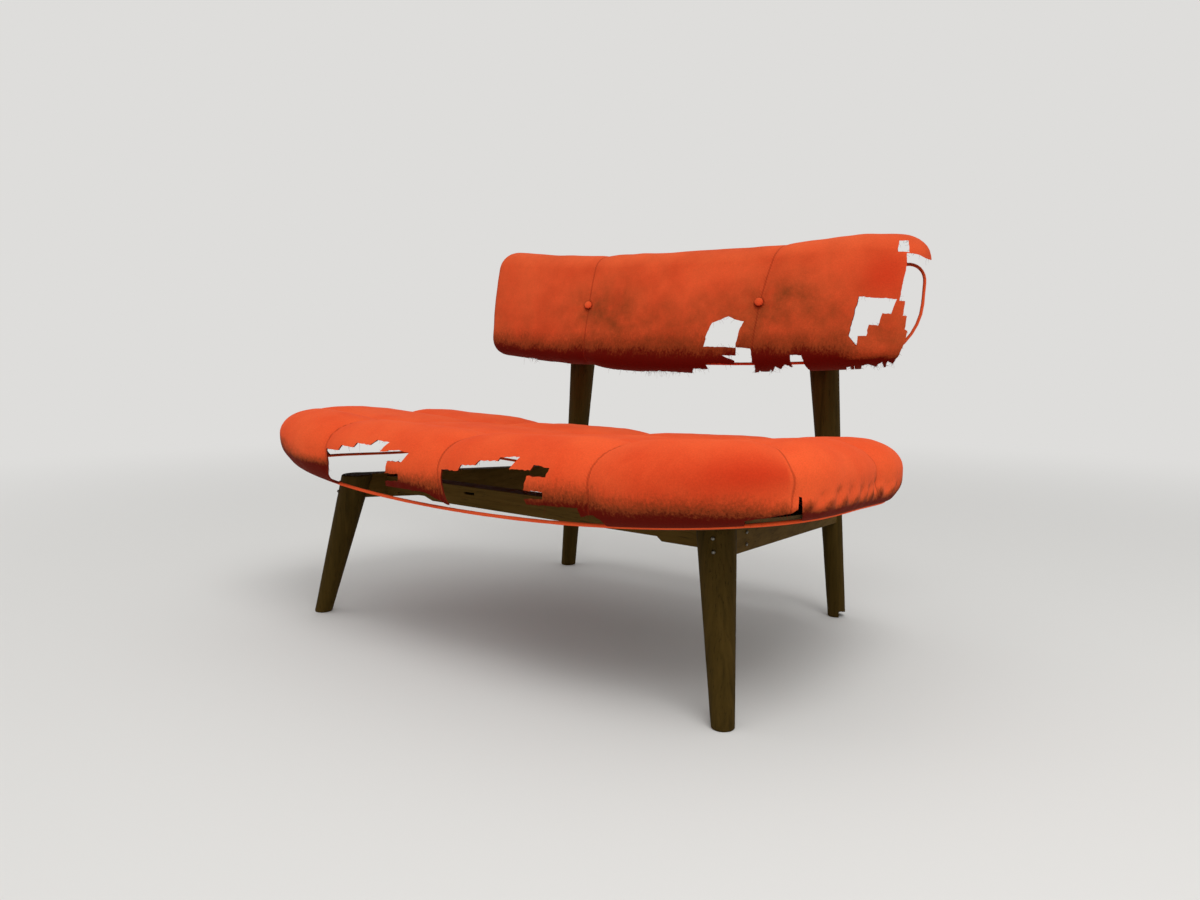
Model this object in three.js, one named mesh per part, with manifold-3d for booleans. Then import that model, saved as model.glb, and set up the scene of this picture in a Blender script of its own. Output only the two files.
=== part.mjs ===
// Broken lounge chair: a dark wooden frame with a torn, empty velvet seat and backrest.
// Millimetres, +Z up, +Y towards the back, front of the chair at -Y.
import * as THREE from 'three';
import { mergeVertices } from 'three/addons/utils/BufferGeometryUtils.js';
import Module from 'manifold-3d';

const wasm = await Module();
wasm.setup();

// Fits
const FIT = 0.3; // gap between pieces that touch

// Front legs: tapered, splayed to the front and the sides, cut level at both ends
const FRONT_FOOT_INSET = 81; // inside the seat's half width
const FRONT_FOOT_FORWARD = 296; // in front of the middle between the feet
const FRONT_LEG_HEIGHT = 265;
const FRONT_LEG_FOOT_D = 33;
const FRONT_LEG_TOP_D = 58;
const FRONT_LEG_SPLAY_X = 0.179; // inward run per millimetre of height
const FRONT_LEG_SPLAY_Y = 0.197; // backward run per millimetre of height

// Rear posts: from the floor up behind the backrest
const REAR_FOOT_INSET = 195; // inside the seat's half width
const REAR_FOOT_BACK = 296; // behind the middle between the feet
const POST_HEIGHT = 632;
const POST_FOOT_D = 33;
const POST_WAIST_D = 40;
const POST_WAIST_Z = 215;
const POST_SHOULDER_D = 57;
const POST_SHOULDER_Z = 500;
const POST_TOP_D = 48;
const POST_LEAN_X = 0.088;
const POST_LEAN_Y = 0.0106;
const TURNED_EDGE = 2.5; // worn round of the turned ends

// Side rails: from each front leg to the rear post, lower towards the back
// The heights of the rails and the seat are drops below the tops of the front legs
const SIDE_RAIL_THICK = 30;
const SIDE_RAIL_TOP_DROP = 12.5; // of its top edge, midway between the feet
const SIDE_RAIL_TOP_FALL = 0.0566;
const SIDE_RAIL_BOTTOM_DROP = 62.5;
const SIDE_RAIL_BOTTOM_FALL = 0.077;

// Front rail, with its lower edge broken off to the left of a step
const FRONT_RAIL_FORWARD = 190; // its front face
const FRONT_RAIL_THICK = 34;
const FRONT_RAIL_TOP_DROP = 7;
const FRONT_RAIL_HEIGHT = 43;
const BREAK_STEP_IN = 124; // from the middle line of the right side rail
const BREAK_STEP_RUN = 9;
const BREAK_DEPTH = 7;
const NOTCH_IN = 34; // from the middle line of the left side rail
const NOTCH_LENGTH = 112;
const NOTCH_DEPTH = 14;
const NOTCH_NEAR_RUN = 4;
const NOTCH_FAR_RUN = 22;
const SLOT_IN = 244; // from the middle line of the left side rail
const SLOT_LENGTH = 28;
const SLOT_BELOW_TOP = 12;
const SLOT_HEIGHT = 4.5;

// Rear rail between the ends of the side rails
const REAR_RAIL_BACK = 247; // its front face
const REAR_RAIL_THICK = 28;
const REAR_RAIL_TOP_DROP = 35;
const REAR_RAIL_HEIGHT = 42;

// Screws: round heads on plain shanks
const SCREW_HEAD_D = 8;
const SCREW_HEAD_HEIGHT = 2.8;
const SCREW_SHANK_D = 4;
const LEG_SCREW_LENGTH = 82;
const RAIL_SCREW_LENGTH = 56;
const LEG_SCREW_OFFSET = 6.5; // outward from the rail's middle
const LEG_SCREW_DROP = 13;
const RAIL_SCREW_DROP = 14; // below the front rail's top
const SCREW_PITCH = 18; // between the two screws of a pair
const SCREW_DOME = [[0.55, 0.86], [0.9, 0.45]]; // shares of the head's radius and height

// Seat: a piping loop, wider at the front, raked and dished, with the cover bulging above it
const PIPING_D = 5.6;
const SEAT_HALF_WIDTH = 531;
const SEAT_FRONT_FLARE = 82; // extra half width at the front, less at the back
const SEAT_SIDE_POWER = 3.94;
const SEAT_END_POWER = 3.87;
const SEAT_MIDDLE_FORWARD = 11.6;
const SEAT_FRONT_DEPTH = 341.6;
const SEAT_REAR_DEPTH = 210;
const SEAT_LOOP_DROP = 25;
const SEAT_RAKE = 0.042;
const SEAT_DISH = 34.3; // rise of the loop at the dish span from the middle
const SEAT_TOP_DISH = 22.5;
const SEAT_DISH_SPAN = 518;
const SEAT_SIDE_BULGE = 24;
const SEAT_FRONT_BULGE = 13; // more bulge towards the front
const SEAT_WIDEST_HEIGHT = 54;
const SEAT_COVER_HEIGHT = 112;
const SEAT_TOP_RAKE = 0.037; // extra fall of the top towards the back
const SEAT_TOP_INSET = 53; // where the side has rounded into the top
const COVER_THICK = 3;

// Seams of the seat: three from front to back and two across, with the padding swelling between them
const SEAM_SPACING = 297;
const FRONT_SEAM_IN = 123; // behind the front of the loop
const REAR_SEAM_IN = 341;
const SEAM_DEPTH = 11;
const PAD_SWELL = 2; // above the plain surface, midway between the seams
const PAD_WIDTH = 95; // from a seam to where the padding is full
const SEAM_SHOULDER = 40; // from a seam to the nearest points beside it
const SEAM_START = 10; // height above the loop at which the seams begin
const SEAM_FULL = 36;

// Seat board: the part of the plywood seat that is left, under the right and rear of the cover
const BOARD_DROP = 8; // depth of its underside below the loop
const BOARD_RISE = 9;
const BOARD_CHAMFER = 34;
const BOARD_RING = 0.5; // share of its size at which each face has a middle ring
const SEAT_BREAK = [[345, -460], [330, -330], [289, -262], [300, -150], [180, -62], [150, -8],
  [58, 62], [-36, 132], [-60, 190], [-112, 236], [-120, 320]];

// Backrest: a floating padded cover, leaning back, its ends higher than its middle
const BACK_HALF_WIDTH = 498;
const BACK_HALF_HEIGHT = 118;
const BACK_CORNER_R = 44;
const BACK_MIDDLE_Z = 576.5;
const BACK_REAR_Y = 293;
const BACK_LEAN = 0.148;
const BACK_DISH = 25.7; // rise of the ends at the dish span from the middle
const BACK_DISH_SPAN = 518;
const BACK_TILT = 0.008; // the backrest hangs a little lower on the right
const BACK_THICK = 91;
const BACK_WIDEST_DEPTH = 45;
const BACK_FACE_INSET = 33;
const BACK_CROWN = 4.5;
const BACK_LOOP_HALF_WIDTH = 480;
const BACK_LOOP_TOP = 60;
const BACK_LOOP_BOTTOM = 104; // below the middle
const BACK_LOOP_TOP_R = 36;
const BACK_LOOP_BOTTOM_R = 92;
const BACK_BREAK = [[30, 380], [22, 486], [40, 520], [28, 562], [60, 606], [150, 600], [230, 612],
  [330, 606], [404, 612], [432, 642], [424, 800]];

// Covered buttons on the seams of the backrest
const BUTTON_X = 204;
const BUTTON_UP = 9; // above the backrest's middle
const BUTTON_D = 18;
const BUTTON_HEIGHT = 7;
const BUTTON_DOME = [[0.8, 0], [1, 0.35], [0.86, 0.72], [0.5, 0.95]]; // shares of its radius and height

// Mesh fineness
const TURN_SIDES = 20;
const SCREW_SIDES = 10;
const BUTTON_SIDES = 16;
const PIPING_SIDES = 6;
const SEAT_SAMPLES = 720; // along one side, to find a place on it
const SEAT_COLUMN_STEPS = [3, 4, 4, 3]; // between the shoulders of the seams, from the left
const SEAT_ROW_STEPS = [1, 3, 3]; // the same from the front
const BACK_LONG_STEPS = 14;
const BACK_SHORT_STEPS = 3;
const BACK_CORNER_STEPS = 4;
const LOWER_STEPS = 3; // from the loop out to the widest line
const UPPER_STEPS = 3; // from the widest line over to the face
const FACE_STEPS = 2; // from there in to the middle

// Tears, as outlines in millimetres: across and up seen from the front, or from the side for a side wall
// The seat's are above its loop, and the backrest's above the floor
const SEAT_TEAR_LEFT = [[-300, -4], [-297, 93], [-263, 94], [-256, 103], [-221, 102], [-216, 110],
  [-181, 108], [-171, 117], [-138, 115], [-151, 100], [-110, 105], [-80, 103], [-92, 88], [-127, 87],
  [-135, 66], [-100, 68], [-103, 56], [-137, 53], [-141, 45], [-47, 43], [-22, 34], [1, 26],
  [1, -4]];
const SEAT_TEAR_MIDDLE = [[-6, -4], [-2, 23], [3, 30], [0, 60], [4, 83], [37, 85], [42, 94],
  [73, 96], [80, 104], [115, 105], [118, 111], [155, 114], [151, 108], [143, 96], [184, 98],
  [188, 106], [218, 104], [214, 91], [179, 90], [173, 69], [209, 69], [207, 59], [172, 56],
  [174, 48], [217, 50], [263, 52], [266, 39], [288, 44], [298, 38], [302, -4]];
const SEAT_TEAR_RIGHT = [[480.5, 30], [480.5, 47.8], [515, 56.3], [548, 65.8], [556.5, 72.3], [557, 88.2],
  [561, 87.4], [562.6, 64.3], [561.6, 57.9], [556, 30]];
const SEAT_TEAR_SIDE = [[-206, -20], [-200, 88], [-152, 96], [-120, 90], [-62, 100], [0, 92],
  [70, 102], [122, 94], [180, 98], [240, 88], [240, -20]];
const SEAT_TEAR_REAR = [[-640, -20], [-640, 98], [-500, 96], [-402, 100], [-334, 90], [-288, 76],
  [-272, 56], [-276, -20]];
const BACK_TEAR_PANE = [[97, 508], [113, 552], [150, 564], [183, 555], [172, 533], [169, 506]];
const BACK_TEAR_HEM = [[106, 400], [112, 470], [138, 492], [165, 511], [173, 507], [201, 504], [203, 478],
  [206, 400]];
const BACK_TEAR_NICK = [[281, 493], [304, 493], [307, 480], [309, 400], [279, 400]];
const BACK_TEAR_STEPS = [[402, 594], [470, 588], [462, 563], [447, 565], [441, 544], [425, 546],
  [422, 527], [407, 527], [406, 510], [390, 527]];
const BACK_TEAR_CORNER = [[455.8, 668.3], [462.1, 685.6], [479.5, 684.5], [481.2, 665.5]];
const BACK_TEAR_END = [[477.2, 664.4], [478, 646], [467, 586], [477, 585], [474, 561], [481, 560],
  [478, 538], [483, 535], [479, 517], [470, 495], [459, 480], [455, 400], [700, 400], [700, 640],
  [541.3, 646.5], [514, 652], [496, 661]];
const BACK_END_SLANT = [-0.39, 0.05]; // sideways and up for each unit of depth behind the torn face
const BACK_END_FACE = 71; // where those outlines lie, in front of the rear plane
const SEAT_SLIT_SLANT = [-0.51, -0.2];
const BACK_FACE_TEAR_DEPTH = 52; // a tear of the front wall alone ends here, behind the face
const SEAT_FRONT_TEAR_DEPTH = 53; // in from the front of the loop
const SEAT_RIGHT_TEAR_DEPTH = 113;
const SEAT_SIDE_TEAR_DEPTH = 131; // in from the side of the loop
const SEAT_REAR_TEAR_DEPTH = 138; // in from the rear of the loop
const CHIP_IN = 10; // from the foot's middle
const CHIP_HEIGHT = 18;

// The heights, middles and reach that the sizes above give
const sideRailTop = FRONT_LEG_HEIGHT - SIDE_RAIL_TOP_DROP;
const sideRailBottom = FRONT_LEG_HEIGHT - SIDE_RAIL_BOTTOM_DROP;
const frontRailTop = FRONT_LEG_HEIGHT - FRONT_RAIL_TOP_DROP;
const frontRailBottom = frontRailTop - FRONT_RAIL_HEIGHT;
const rearRailTop = FRONT_LEG_HEIGHT - REAR_RAIL_TOP_DROP;
const rearRailBottom = rearRailTop - REAR_RAIL_HEIGHT;
const seatLoopZ = FRONT_LEG_HEIGHT - SEAT_LOOP_DROP;
const frontFootX = SEAT_HALF_WIDTH - FRONT_FOOT_INSET;
const rearFootX = SEAT_HALF_WIDTH - REAR_FOOT_INSET;
const seatFrontY = -SEAT_MIDDLE_FORWARD - SEAT_FRONT_DEPTH;
const seatRearY = SEAT_REAR_DEPTH - SEAT_MIDDLE_FORWARD;
const wellOutside = 2 * (SEAT_HALF_WIDTH + SEAT_FRONT_FLARE); // past any wall that a cut goes through

// Materials
function finish(color, roughness, metalness) {
  return new THREE.MeshStandardMaterial({ color, roughness, metalness });
}
const OLIVE_WOOD = finish('#4a3a1c', 0.55, 0);
const PLYWOOD = finish('#6a5432', 0.7, 0);
const ORANGE_VELVET = finish('#e8481c', 0.9, 0);
const STEEL = finish('#b9bcc0', 0.35, 1);

// Working with solids
function toSolid(geometry) {
  const bare = geometry.clone();
  bare.deleteAttribute('normal');
  bare.deleteAttribute('uv');
  const merged = mergeVertices(bare, 1e-4);
  const mesh = new wasm.Mesh({
    numProp: 3,
    vertProperties: new Float32Array(merged.attributes.position.array),
    triVerts: new Uint32Array(merged.index.array),
  });
  return new wasm.Manifold(mesh);
}

function toGeometry(solid) {
  const mesh = solid.getMesh();
  const geometry = new THREE.BufferGeometry();
  geometry.setAttribute('position', new THREE.BufferAttribute(new Float32Array(mesh.vertProperties), 3));
  geometry.setIndex(new THREE.BufferAttribute(new Uint32Array(mesh.triVerts), 1));
  geometry.computeVertexNormals();
  return geometry;
}

function cut(geometry, ...tools) {
  const solid = tools.reduce((left, tool) => left.subtract(toSolid(tool)), toSolid(geometry));
  const pieces = solid.decompose();
  pieces.sort((a, b) => b.volume() - a.volume());
  return toGeometry(pieces[0]);
}

// A prism whose outline lies in the plane of two axes and which runs along the third
function prism(outline, axis, from, to) {
  const shape = new THREE.Shape(outline.map(([u, v]) => new THREE.Vector2(u, v)));
  const geometry = new THREE.ExtrudeGeometry(shape, { depth: to - from, bevelEnabled: false });
  const x = new THREE.Vector3(1, 0, 0);
  const y = new THREE.Vector3(0, 1, 0);
  const z = new THREE.Vector3(0, 0, 1);
  const place = new THREE.Matrix4();
  if (axis === 'x') place.makeBasis(y, z, x).setPosition(from, 0, 0);
  if (axis === 'y') place.makeBasis(x, z, y.negate()).setPosition(0, to, 0);
  if (axis === 'z') place.setPosition(0, 0, from);
  return geometry.applyMatrix4(place);
}

// A tear that runs on to the rear at a slant from the plane that its outline lies in
function slanted(outline, from, to, plane, [across, up]) {
  const shear = new THREE.Matrix4().makeShear(0, 0, across, up, 0, 0);
  const tear = prism(outline, 'y', from, to).translate(0, -plane, 0);
  return tear.applyMatrix4(shear).translate(0, plane, 0);
}

// A closed skin through loops of points, with a middle point at each end
function skin(loops, first, last) {
  const count = loops[0].length;
  const points = [first, ...loops.flat(), last];
  const faces = [];
  const at = (row, column) => 1 + row * count + (column % count);
  for (let j = 0; j < count; j += 1) {
    faces.push(0, at(0, j + 1), at(0, j));
    for (let i = 0; i < loops.length - 1; i += 1) {
      faces.push(at(i, j), at(i, j + 1), at(i + 1, j + 1));
      faces.push(at(i, j), at(i + 1, j + 1), at(i + 1, j));
    }
    faces.push(at(loops.length - 1, j), at(loops.length - 1, j + 1), points.length - 1);
  }
  return pointMesh(points, faces);
}

function pointMesh(points, faces) {
  const geometry = new THREE.BufferGeometry();
  geometry.setAttribute('position', new THREE.Float32BufferAttribute(points.flatMap((p) => p.toArray()), 3));
  geometry.setIndex(faces);
  geometry.computeVertexNormals();
  return geometry;
}

// The same loops moved inwards by a depth, square to their surface, and straight inwards at the rim
function sunk(loops, depth, inwards) {
  const count = loops[0].length;
  return loops.map((loop, i) => loop.map((point, j) => {
    if (i === 0) return point.clone().addScaledVector(inwards, depth);
    const along = loop[(j + 1) % count].clone().sub(loop[(j + count - 1) % count]);
    const after = loops[Math.min(i + 1, loops.length - 1)][j];
    const across = after.clone().sub(loops[i - 1][j]);
    const normal = along.cross(across).normalize();
    return point.clone().addScaledVector(normal, -depth);
  }));
}

// A cover: outer loops from its open rim to its middle, and the same surface one thickness inside
function coverShell(loops, middle, rimInwards) {
  const inner = sunk(loops, COVER_THICK, rimInwards).reverse();
  const innerMiddle = middle.clone().addScaledVector(rimInwards, -COVER_THICK);
  return skin([...inner, ...loops], innerMiddle, middle);
}

// A round cord through a closed loop of points that lies about square to a facing direction
function cordLoop(points, diameter, facing) {
  const count = points.length;
  const vertices = [];
  const faces = [];
  const side = new THREE.Vector3();
  const rise = new THREE.Vector3();
  points.forEach((point, i) => {
    const along = points[(i + 1) % count].clone().sub(points[(i + count - 1) % count]).normalize();
    side.crossVectors(along, facing).normalize();
    rise.crossVectors(side, along);
    for (let k = 0; k < PIPING_SIDES; k += 1) {
      const angle = (2 * Math.PI * k) / PIPING_SIDES;
      vertices.push(point.clone()
        .addScaledVector(side, (Math.cos(angle) * diameter) / 2)
        .addScaledVector(rise, (Math.sin(angle) * diameter) / 2));
    }
  });
  for (let i = 0; i < count; i += 1) {
    for (let k = 0; k < PIPING_SIDES; k += 1) {
      const a = i * PIPING_SIDES + k;
      const b = i * PIPING_SIDES + ((k + 1) % PIPING_SIDES);
      const c = ((i + 1) % count) * PIPING_SIDES + ((k + 1) % PIPING_SIDES);
      const d = ((i + 1) % count) * PIPING_SIDES + k;
      faces.push(a, c, b, a, d, c);
    }
  }
  return pointMesh(vertices, faces);
}

// Frame: turned legs and posts
function turned(profile, foot, leanX, leanY) {
  const points = profile.map(([r, z]) => new THREE.Vector2(r, z));
  const geometry = new THREE.LatheGeometry(points, TURN_SIDES).rotateX(Math.PI / 2);
  const lean = new THREE.Matrix4().set(1, 0, leanX, 0, 0, 1, leanY, 0, 0, 0, 1, 0, 0, 0, 0, 1);
  return geometry.applyMatrix4(lean).translate(foot.x, foot.y, 0);
}

function frontLeg(side, grow = 0) {
  const foot = FRONT_LEG_FOOT_D / 2 + grow;
  const top = FRONT_LEG_TOP_D / 2 + grow;
  const height = FRONT_LEG_HEIGHT + grow;
  const profile = [[0, 0], [foot - TURNED_EDGE, 0], [foot, TURNED_EDGE], [top, height - TURNED_EDGE],
    [top - TURNED_EDGE, height], [0, height]];
  const place = { x: side * frontFootX, y: -FRONT_FOOT_FORWARD };
  return turned(profile, place, -side * FRONT_LEG_SPLAY_X, FRONT_LEG_SPLAY_Y);
}

function rearPost(side, grow = 0) {
  const radius = (diameter) => diameter / 2 + grow;
  const profile = [[0, 0], [radius(POST_FOOT_D) - TURNED_EDGE, 0], [radius(POST_FOOT_D), TURNED_EDGE],
    [radius(POST_WAIST_D), POST_WAIST_Z], [radius(POST_SHOULDER_D), POST_SHOULDER_Z],
    [radius(POST_TOP_D), POST_HEIGHT - TURNED_EDGE], [radius(POST_TOP_D) - TURNED_EDGE, POST_HEIGHT],
    [0, POST_HEIGHT]];
  const place = { x: side * rearFootX, y: REAR_FOOT_BACK };
  return turned(profile, place, -side * POST_LEAN_X, POST_LEAN_Y);
}

// The middle line of a side rail, seen from above: it joins the leg's middle to the post's middle
const railStart = new THREE.Vector2(
  frontFootX - FRONT_LEG_SPLAY_X * sideRailTop,
  -FRONT_FOOT_FORWARD + FRONT_LEG_SPLAY_Y * sideRailTop,
);
const railEnd = new THREE.Vector2(
  rearFootX - POST_LEAN_X * sideRailBottom,
  REAR_FOOT_BACK + POST_LEAN_Y * sideRailBottom,
);
const railRun = railEnd.clone().sub(railStart);
const railAlong = railRun.clone().normalize();
const railSlope = railRun.x / railRun.y;
const railHalfAcross = SIDE_RAIL_THICK / 2 / railAlong.y;
const railMiddleX = (y) => railStart.x + railSlope * (y - railStart.y);
const railTopAt = (y) => sideRailTop - SIDE_RAIL_TOP_FALL * y;
const railBottomAt = (y) => sideRailBottom - SIDE_RAIL_BOTTOM_FALL * y;

function sideRailBlank(side, grow = 0) {
  const from = railStart.y;
  const to = railEnd.y;
  const outline = [[from, railBottomAt(from) - grow], [to, railBottomAt(to) - grow],
    [to, railTopAt(to) + grow], [from, railTopAt(from) + grow]];
  const half = railHalfAcross + grow;
  const follow = new THREE.Matrix4().set(
    1, side * railSlope, 0, side * (railStart.x - railSlope * railStart.y),
    0, 1, 0, 0, 0, 0, 1, 0, 0, 0, 0, 1,
  );
  return prism(outline, 'x', -half, half).applyMatrix4(follow);
}

// Screws lie along a direction, head outside, and their holes are a little wider
function alongLine(geometry, start, direction) {
  const turn = new THREE.Quaternion().setFromUnitVectors(new THREE.Vector3(0, 1, 0), direction);
  return geometry.applyQuaternion(turn).translate(start.x, start.y, start.z);
}

function screwShape(length) {
  const head = SCREW_HEAD_D / 2;
  const shank = SCREW_SHANK_D / 2;
  const dome = SCREW_DOME.map(([r, h]) => [head * r, -SCREW_HEAD_HEIGHT * h]);
  const profile = [[0, -SCREW_HEAD_HEIGHT], ...dome, [head, -FIT], [head, 0], [shank, 0],
    [shank, length - shank], [0, length]];
  return new THREE.LatheGeometry(profile.map(([r, y]) => new THREE.Vector2(r, y)), SCREW_SIDES);
}

function screwHole(length) {
  const seat = SCREW_HEAD_D / 2 + FIT;
  const bore = SCREW_SHANK_D / 2 + FIT;
  const end = length + FIT;
  const profile = [[0, -SCREW_HEAD_D], [seat, -SCREW_HEAD_D], [seat, FIT], [bore, FIT], [bore, end],
    [0, end]];
  return new THREE.LatheGeometry(profile.map(([r, y]) => new THREE.Vector2(r, y)), SCREW_SIDES);
}

function legScrewLine(side, row) {
  const height = FRONT_LEG_HEIGHT - LEG_SCREW_DROP - row * SCREW_PITCH;
  const taper = (FRONT_LEG_TOP_D - FRONT_LEG_FOOT_D) / 2;
  const radius = FRONT_LEG_FOOT_D / 2 + taper * (height / FRONT_LEG_HEIGHT);
  const middle = new THREE.Vector2(
    frontFootX - FRONT_LEG_SPLAY_X * height,
    -FRONT_FOOT_FORWARD + FRONT_LEG_SPLAY_Y * height,
  );
  const outward = new THREE.Vector2(railAlong.y, -railAlong.x);
  const reach = Math.sqrt(radius * radius - LEG_SCREW_OFFSET * LEG_SCREW_OFFSET) + FIT;
  const start = middle.addScaledVector(outward, LEG_SCREW_OFFSET).addScaledVector(railAlong, -reach);
  return {
    start: new THREE.Vector3(side * start.x, start.y, height),
    direction: new THREE.Vector3(side * railAlong.x, railAlong.y, 0),
  };
}

function railScrewLine(side, row) {
  const height = frontRailTop - RAIL_SCREW_DROP - row * SCREW_PITCH;
  const y = FRONT_RAIL_THICK / 2 - FRONT_RAIL_FORWARD;
  const outward = SIDE_RAIL_THICK / 2 + FIT;
  const x = railMiddleX(y) + outward * railAlong.y;
  return {
    start: new THREE.Vector3(side * x, y - outward * railAlong.x, height),
    direction: new THREE.Vector3(-side * railAlong.y, railAlong.x, 0),
  };
}

const screwLines = [];
for (const [sideName, side] of [['left', -1], ['right', 1]]) {
  for (const row of [0, 1]) {
    const number = `${sideName}_${row + 1}`;
    const legLine = legScrewLine(side, row);
    const railLine = railScrewLine(side, row);
    screwLines.push({ name: `leg_screw_${number}`, length: LEG_SCREW_LENGTH, ...legLine });
    screwLines.push({ name: `rail_screw_${number}`, length: RAIL_SCREW_LENGTH, ...railLine });
  }
}
const holesOn = (side) => screwLines
  .filter((line) => Math.sign(line.start.x) === side)
  .map((line) => alongLine(screwHole(line.length), line.start, line.direction));

function sideRail(side) {
  return cut(sideRailBlank(side), frontLeg(side, FIT), rearPost(side, FIT), ...holesOn(side));
}

// A rail between the inner faces of the side rails
function crossRail(outline, faceY, thick, grow = 0) {
  const blank = prism(outline, 'y', faceY - grow, faceY + thick + grow);
  return cut(blank, sideRailBlank(-1, FIT), sideRailBlank(1, FIT));
}

function frontRailOutline() {
  const end = railMiddleX(-FRONT_RAIL_FORWARD);
  const broken = frontRailBottom + BREAK_DEPTH;
  const notch = frontRailBottom + NOTCH_DEPTH;
  const near = NOTCH_IN - end;
  const far = near + NOTCH_LENGTH;
  const step = end - BREAK_STEP_IN;
  return [[-end, frontRailTop], [-end, broken], [near, broken], [near + NOTCH_NEAR_RUN, notch],
    [far - NOTCH_FAR_RUN, notch], [far, broken], [step - BREAK_STEP_RUN, broken],
    [step, frontRailBottom], [end, frontRailBottom], [end, frontRailTop]];
}

function frontRail() {
  const middle = frontRailTop - SLOT_BELOW_TOP;
  const low = middle - SLOT_HEIGHT / 2;
  const high = middle + SLOT_HEIGHT / 2;
  const start = SLOT_IN - SLOT_LENGTH / 2 - railMiddleX(-FRONT_RAIL_FORWARD);
  const mouth = start + SLOT_LENGTH / 4;
  const end = start + SLOT_LENGTH;
  const slot = [[start, middle], [mouth, low], [end, low], [end, high], [mouth, high]];
  const rail = crossRail(frontRailOutline(), -FRONT_RAIL_FORWARD, FRONT_RAIL_THICK);
  return cut(rail, prism(slot, 'y', -wellOutside, wellOutside), ...holesOn(-1), ...holesOn(1));
}

function rearRail() {
  const end = railMiddleX(REAR_RAIL_BACK);
  const outline = [[-end, rearRailTop], [-end, rearRailBottom], [end, rearRailBottom],
    [end, rearRailTop]];
  return crossRail(outline, REAR_RAIL_BACK, REAR_RAIL_THICK);
}

// Seat surface
const signedPower = (value, power) => Math.sign(value) * Math.abs(value) ** power;

function seatPlan(angle, grow) {
  const sine = Math.sin(angle);
  const depth = (sine < 0 ? SEAT_FRONT_DEPTH : SEAT_REAR_DEPTH) + grow;
  const half = SEAT_HALF_WIDTH + grow - SEAT_FRONT_FLARE * sine;
  return new THREE.Vector2(
    half * signedPower(Math.cos(angle), 2 / SEAT_SIDE_POWER),
    -SEAT_MIDDLE_FORWARD + depth * signedPower(sine, 2 / SEAT_END_POWER),
  );
}

// The angle on a side of the seat's top at which a measure of its plan reaches a value
function angleWhere(from, to, measure, value) {
  const angleAt = (i) => from + ((to - from) * i) / SEAT_SAMPLES;
  const valueAt = (i) => measure(seatPlan(angleAt(i), -SEAT_TOP_INSET));
  let i = 1;
  while (i < SEAT_SAMPLES && valueAt(i) < value) i += 1;
  const before = valueAt(i - 1);
  return angleAt(i - 1 + (value - before) / (valueAt(i) - before));
}

// Places along a side: at its seams, a shoulder's width beside them, and evenly between
function places(low, high, seams, steps) {
  const marks = [low, ...seams, high];
  const result = [];
  steps.forEach((count, i) => {
    const shoulder = Math.min(SEAM_SHOULDER, (marks[i + 1] - marks[i]) / 3);
    const start = marks[i] + (i > 0 ? shoulder : 0);
    const end = marks[i + 1] - (i < steps.length - 1 ? shoulder : 0);
    if (i > 0) result.push(marks[i]);
    for (let k = 0; k < count; k += 1) result.push(start + ((end - start) * k) / count);
    if (i < steps.length - 1) result.push(end);
  });
  return [...result, high];
}

const seamColumns = [-SEAM_SPACING, 0, SEAM_SPACING];
const seamRows = [seatFrontY + FRONT_SEAM_IN, seatFrontY + REAR_SEAM_IN];
const planX = (plan) => plan.x;
const planY = (plan) => plan.y;

// Angles on one side of the seat's top, from its start to its end, at the places that the seams ask for
function sideAngles(from, to, measure, seams, steps) {
  const low = measure(seatPlan(from, -SEAT_TOP_INSET));
  const high = measure(seatPlan(to, -SEAT_TOP_INSET));
  return places(low, high, seams, steps).map((value) => angleWhere(from, to, measure, value));
}

// Stations round the seat, from the front left corner along the front
const CORNER = Math.PI / 4;
const frontSide = sideAngles(-3 * CORNER, -CORNER, planX, seamColumns, SEAT_COLUMN_STEPS);
const rightSide = sideAngles(-CORNER, CORNER, planY, seamRows, SEAT_ROW_STEPS);
const rearSide = sideAngles(3 * CORNER, CORNER, planX, seamColumns, SEAT_COLUMN_STEPS).reverse();
const leftSide = sideAngles(-3 * CORNER, -5 * CORNER, planY, seamRows, SEAT_ROW_STEPS).reverse();
const seatStations = [frontSide, rightSide, rearSide, leftSide].flatMap((side) => side.slice(0, -1));
const seatColumns = frontSide.length - 1;
const seatRows = rightSide.length - 1;
const seatMiddle = new THREE.Vector2(0, -SEAT_MIDDLE_FORWARD);
const UP = new THREE.Vector3(0, 0, 1);
const pipingRoom = PIPING_D / 2 + FIT;

// Height of the seat at a plan point, for a height above the loop
function seatPoint(plan, height) {
  const share = height / SEAT_COVER_HEIGHT;
  const dish = SEAT_DISH + (SEAT_TOP_DISH - SEAT_DISH) * share;
  const z = seatLoopZ + height - (SEAT_RAKE + SEAT_TOP_RAKE * share) * plan.y;
  return new THREE.Vector3(plan.x, plan.y, z + dish * (plan.x / SEAT_DISH_SPAN) ** 2);
}

function seatLoop(growAt, height) {
  return seatStations.map((angle) => seatPoint(seatPlan(angle, growAt(angle)), height));
}

function seatBulge(angle) {
  return SEAT_SIDE_BULGE + SEAT_FRONT_BULGE * Math.sqrt(Math.max(0, -Math.sin(angle)));
}

// A loop drawn in towards the seat's middle
function seatInset(grow, share, height) {
  return seatStations.map((angle) => {
    const plan = seatMiddle.clone().lerp(seatPlan(angle, grow), share);
    return seatPoint(plan, height);
  });
}

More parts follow.
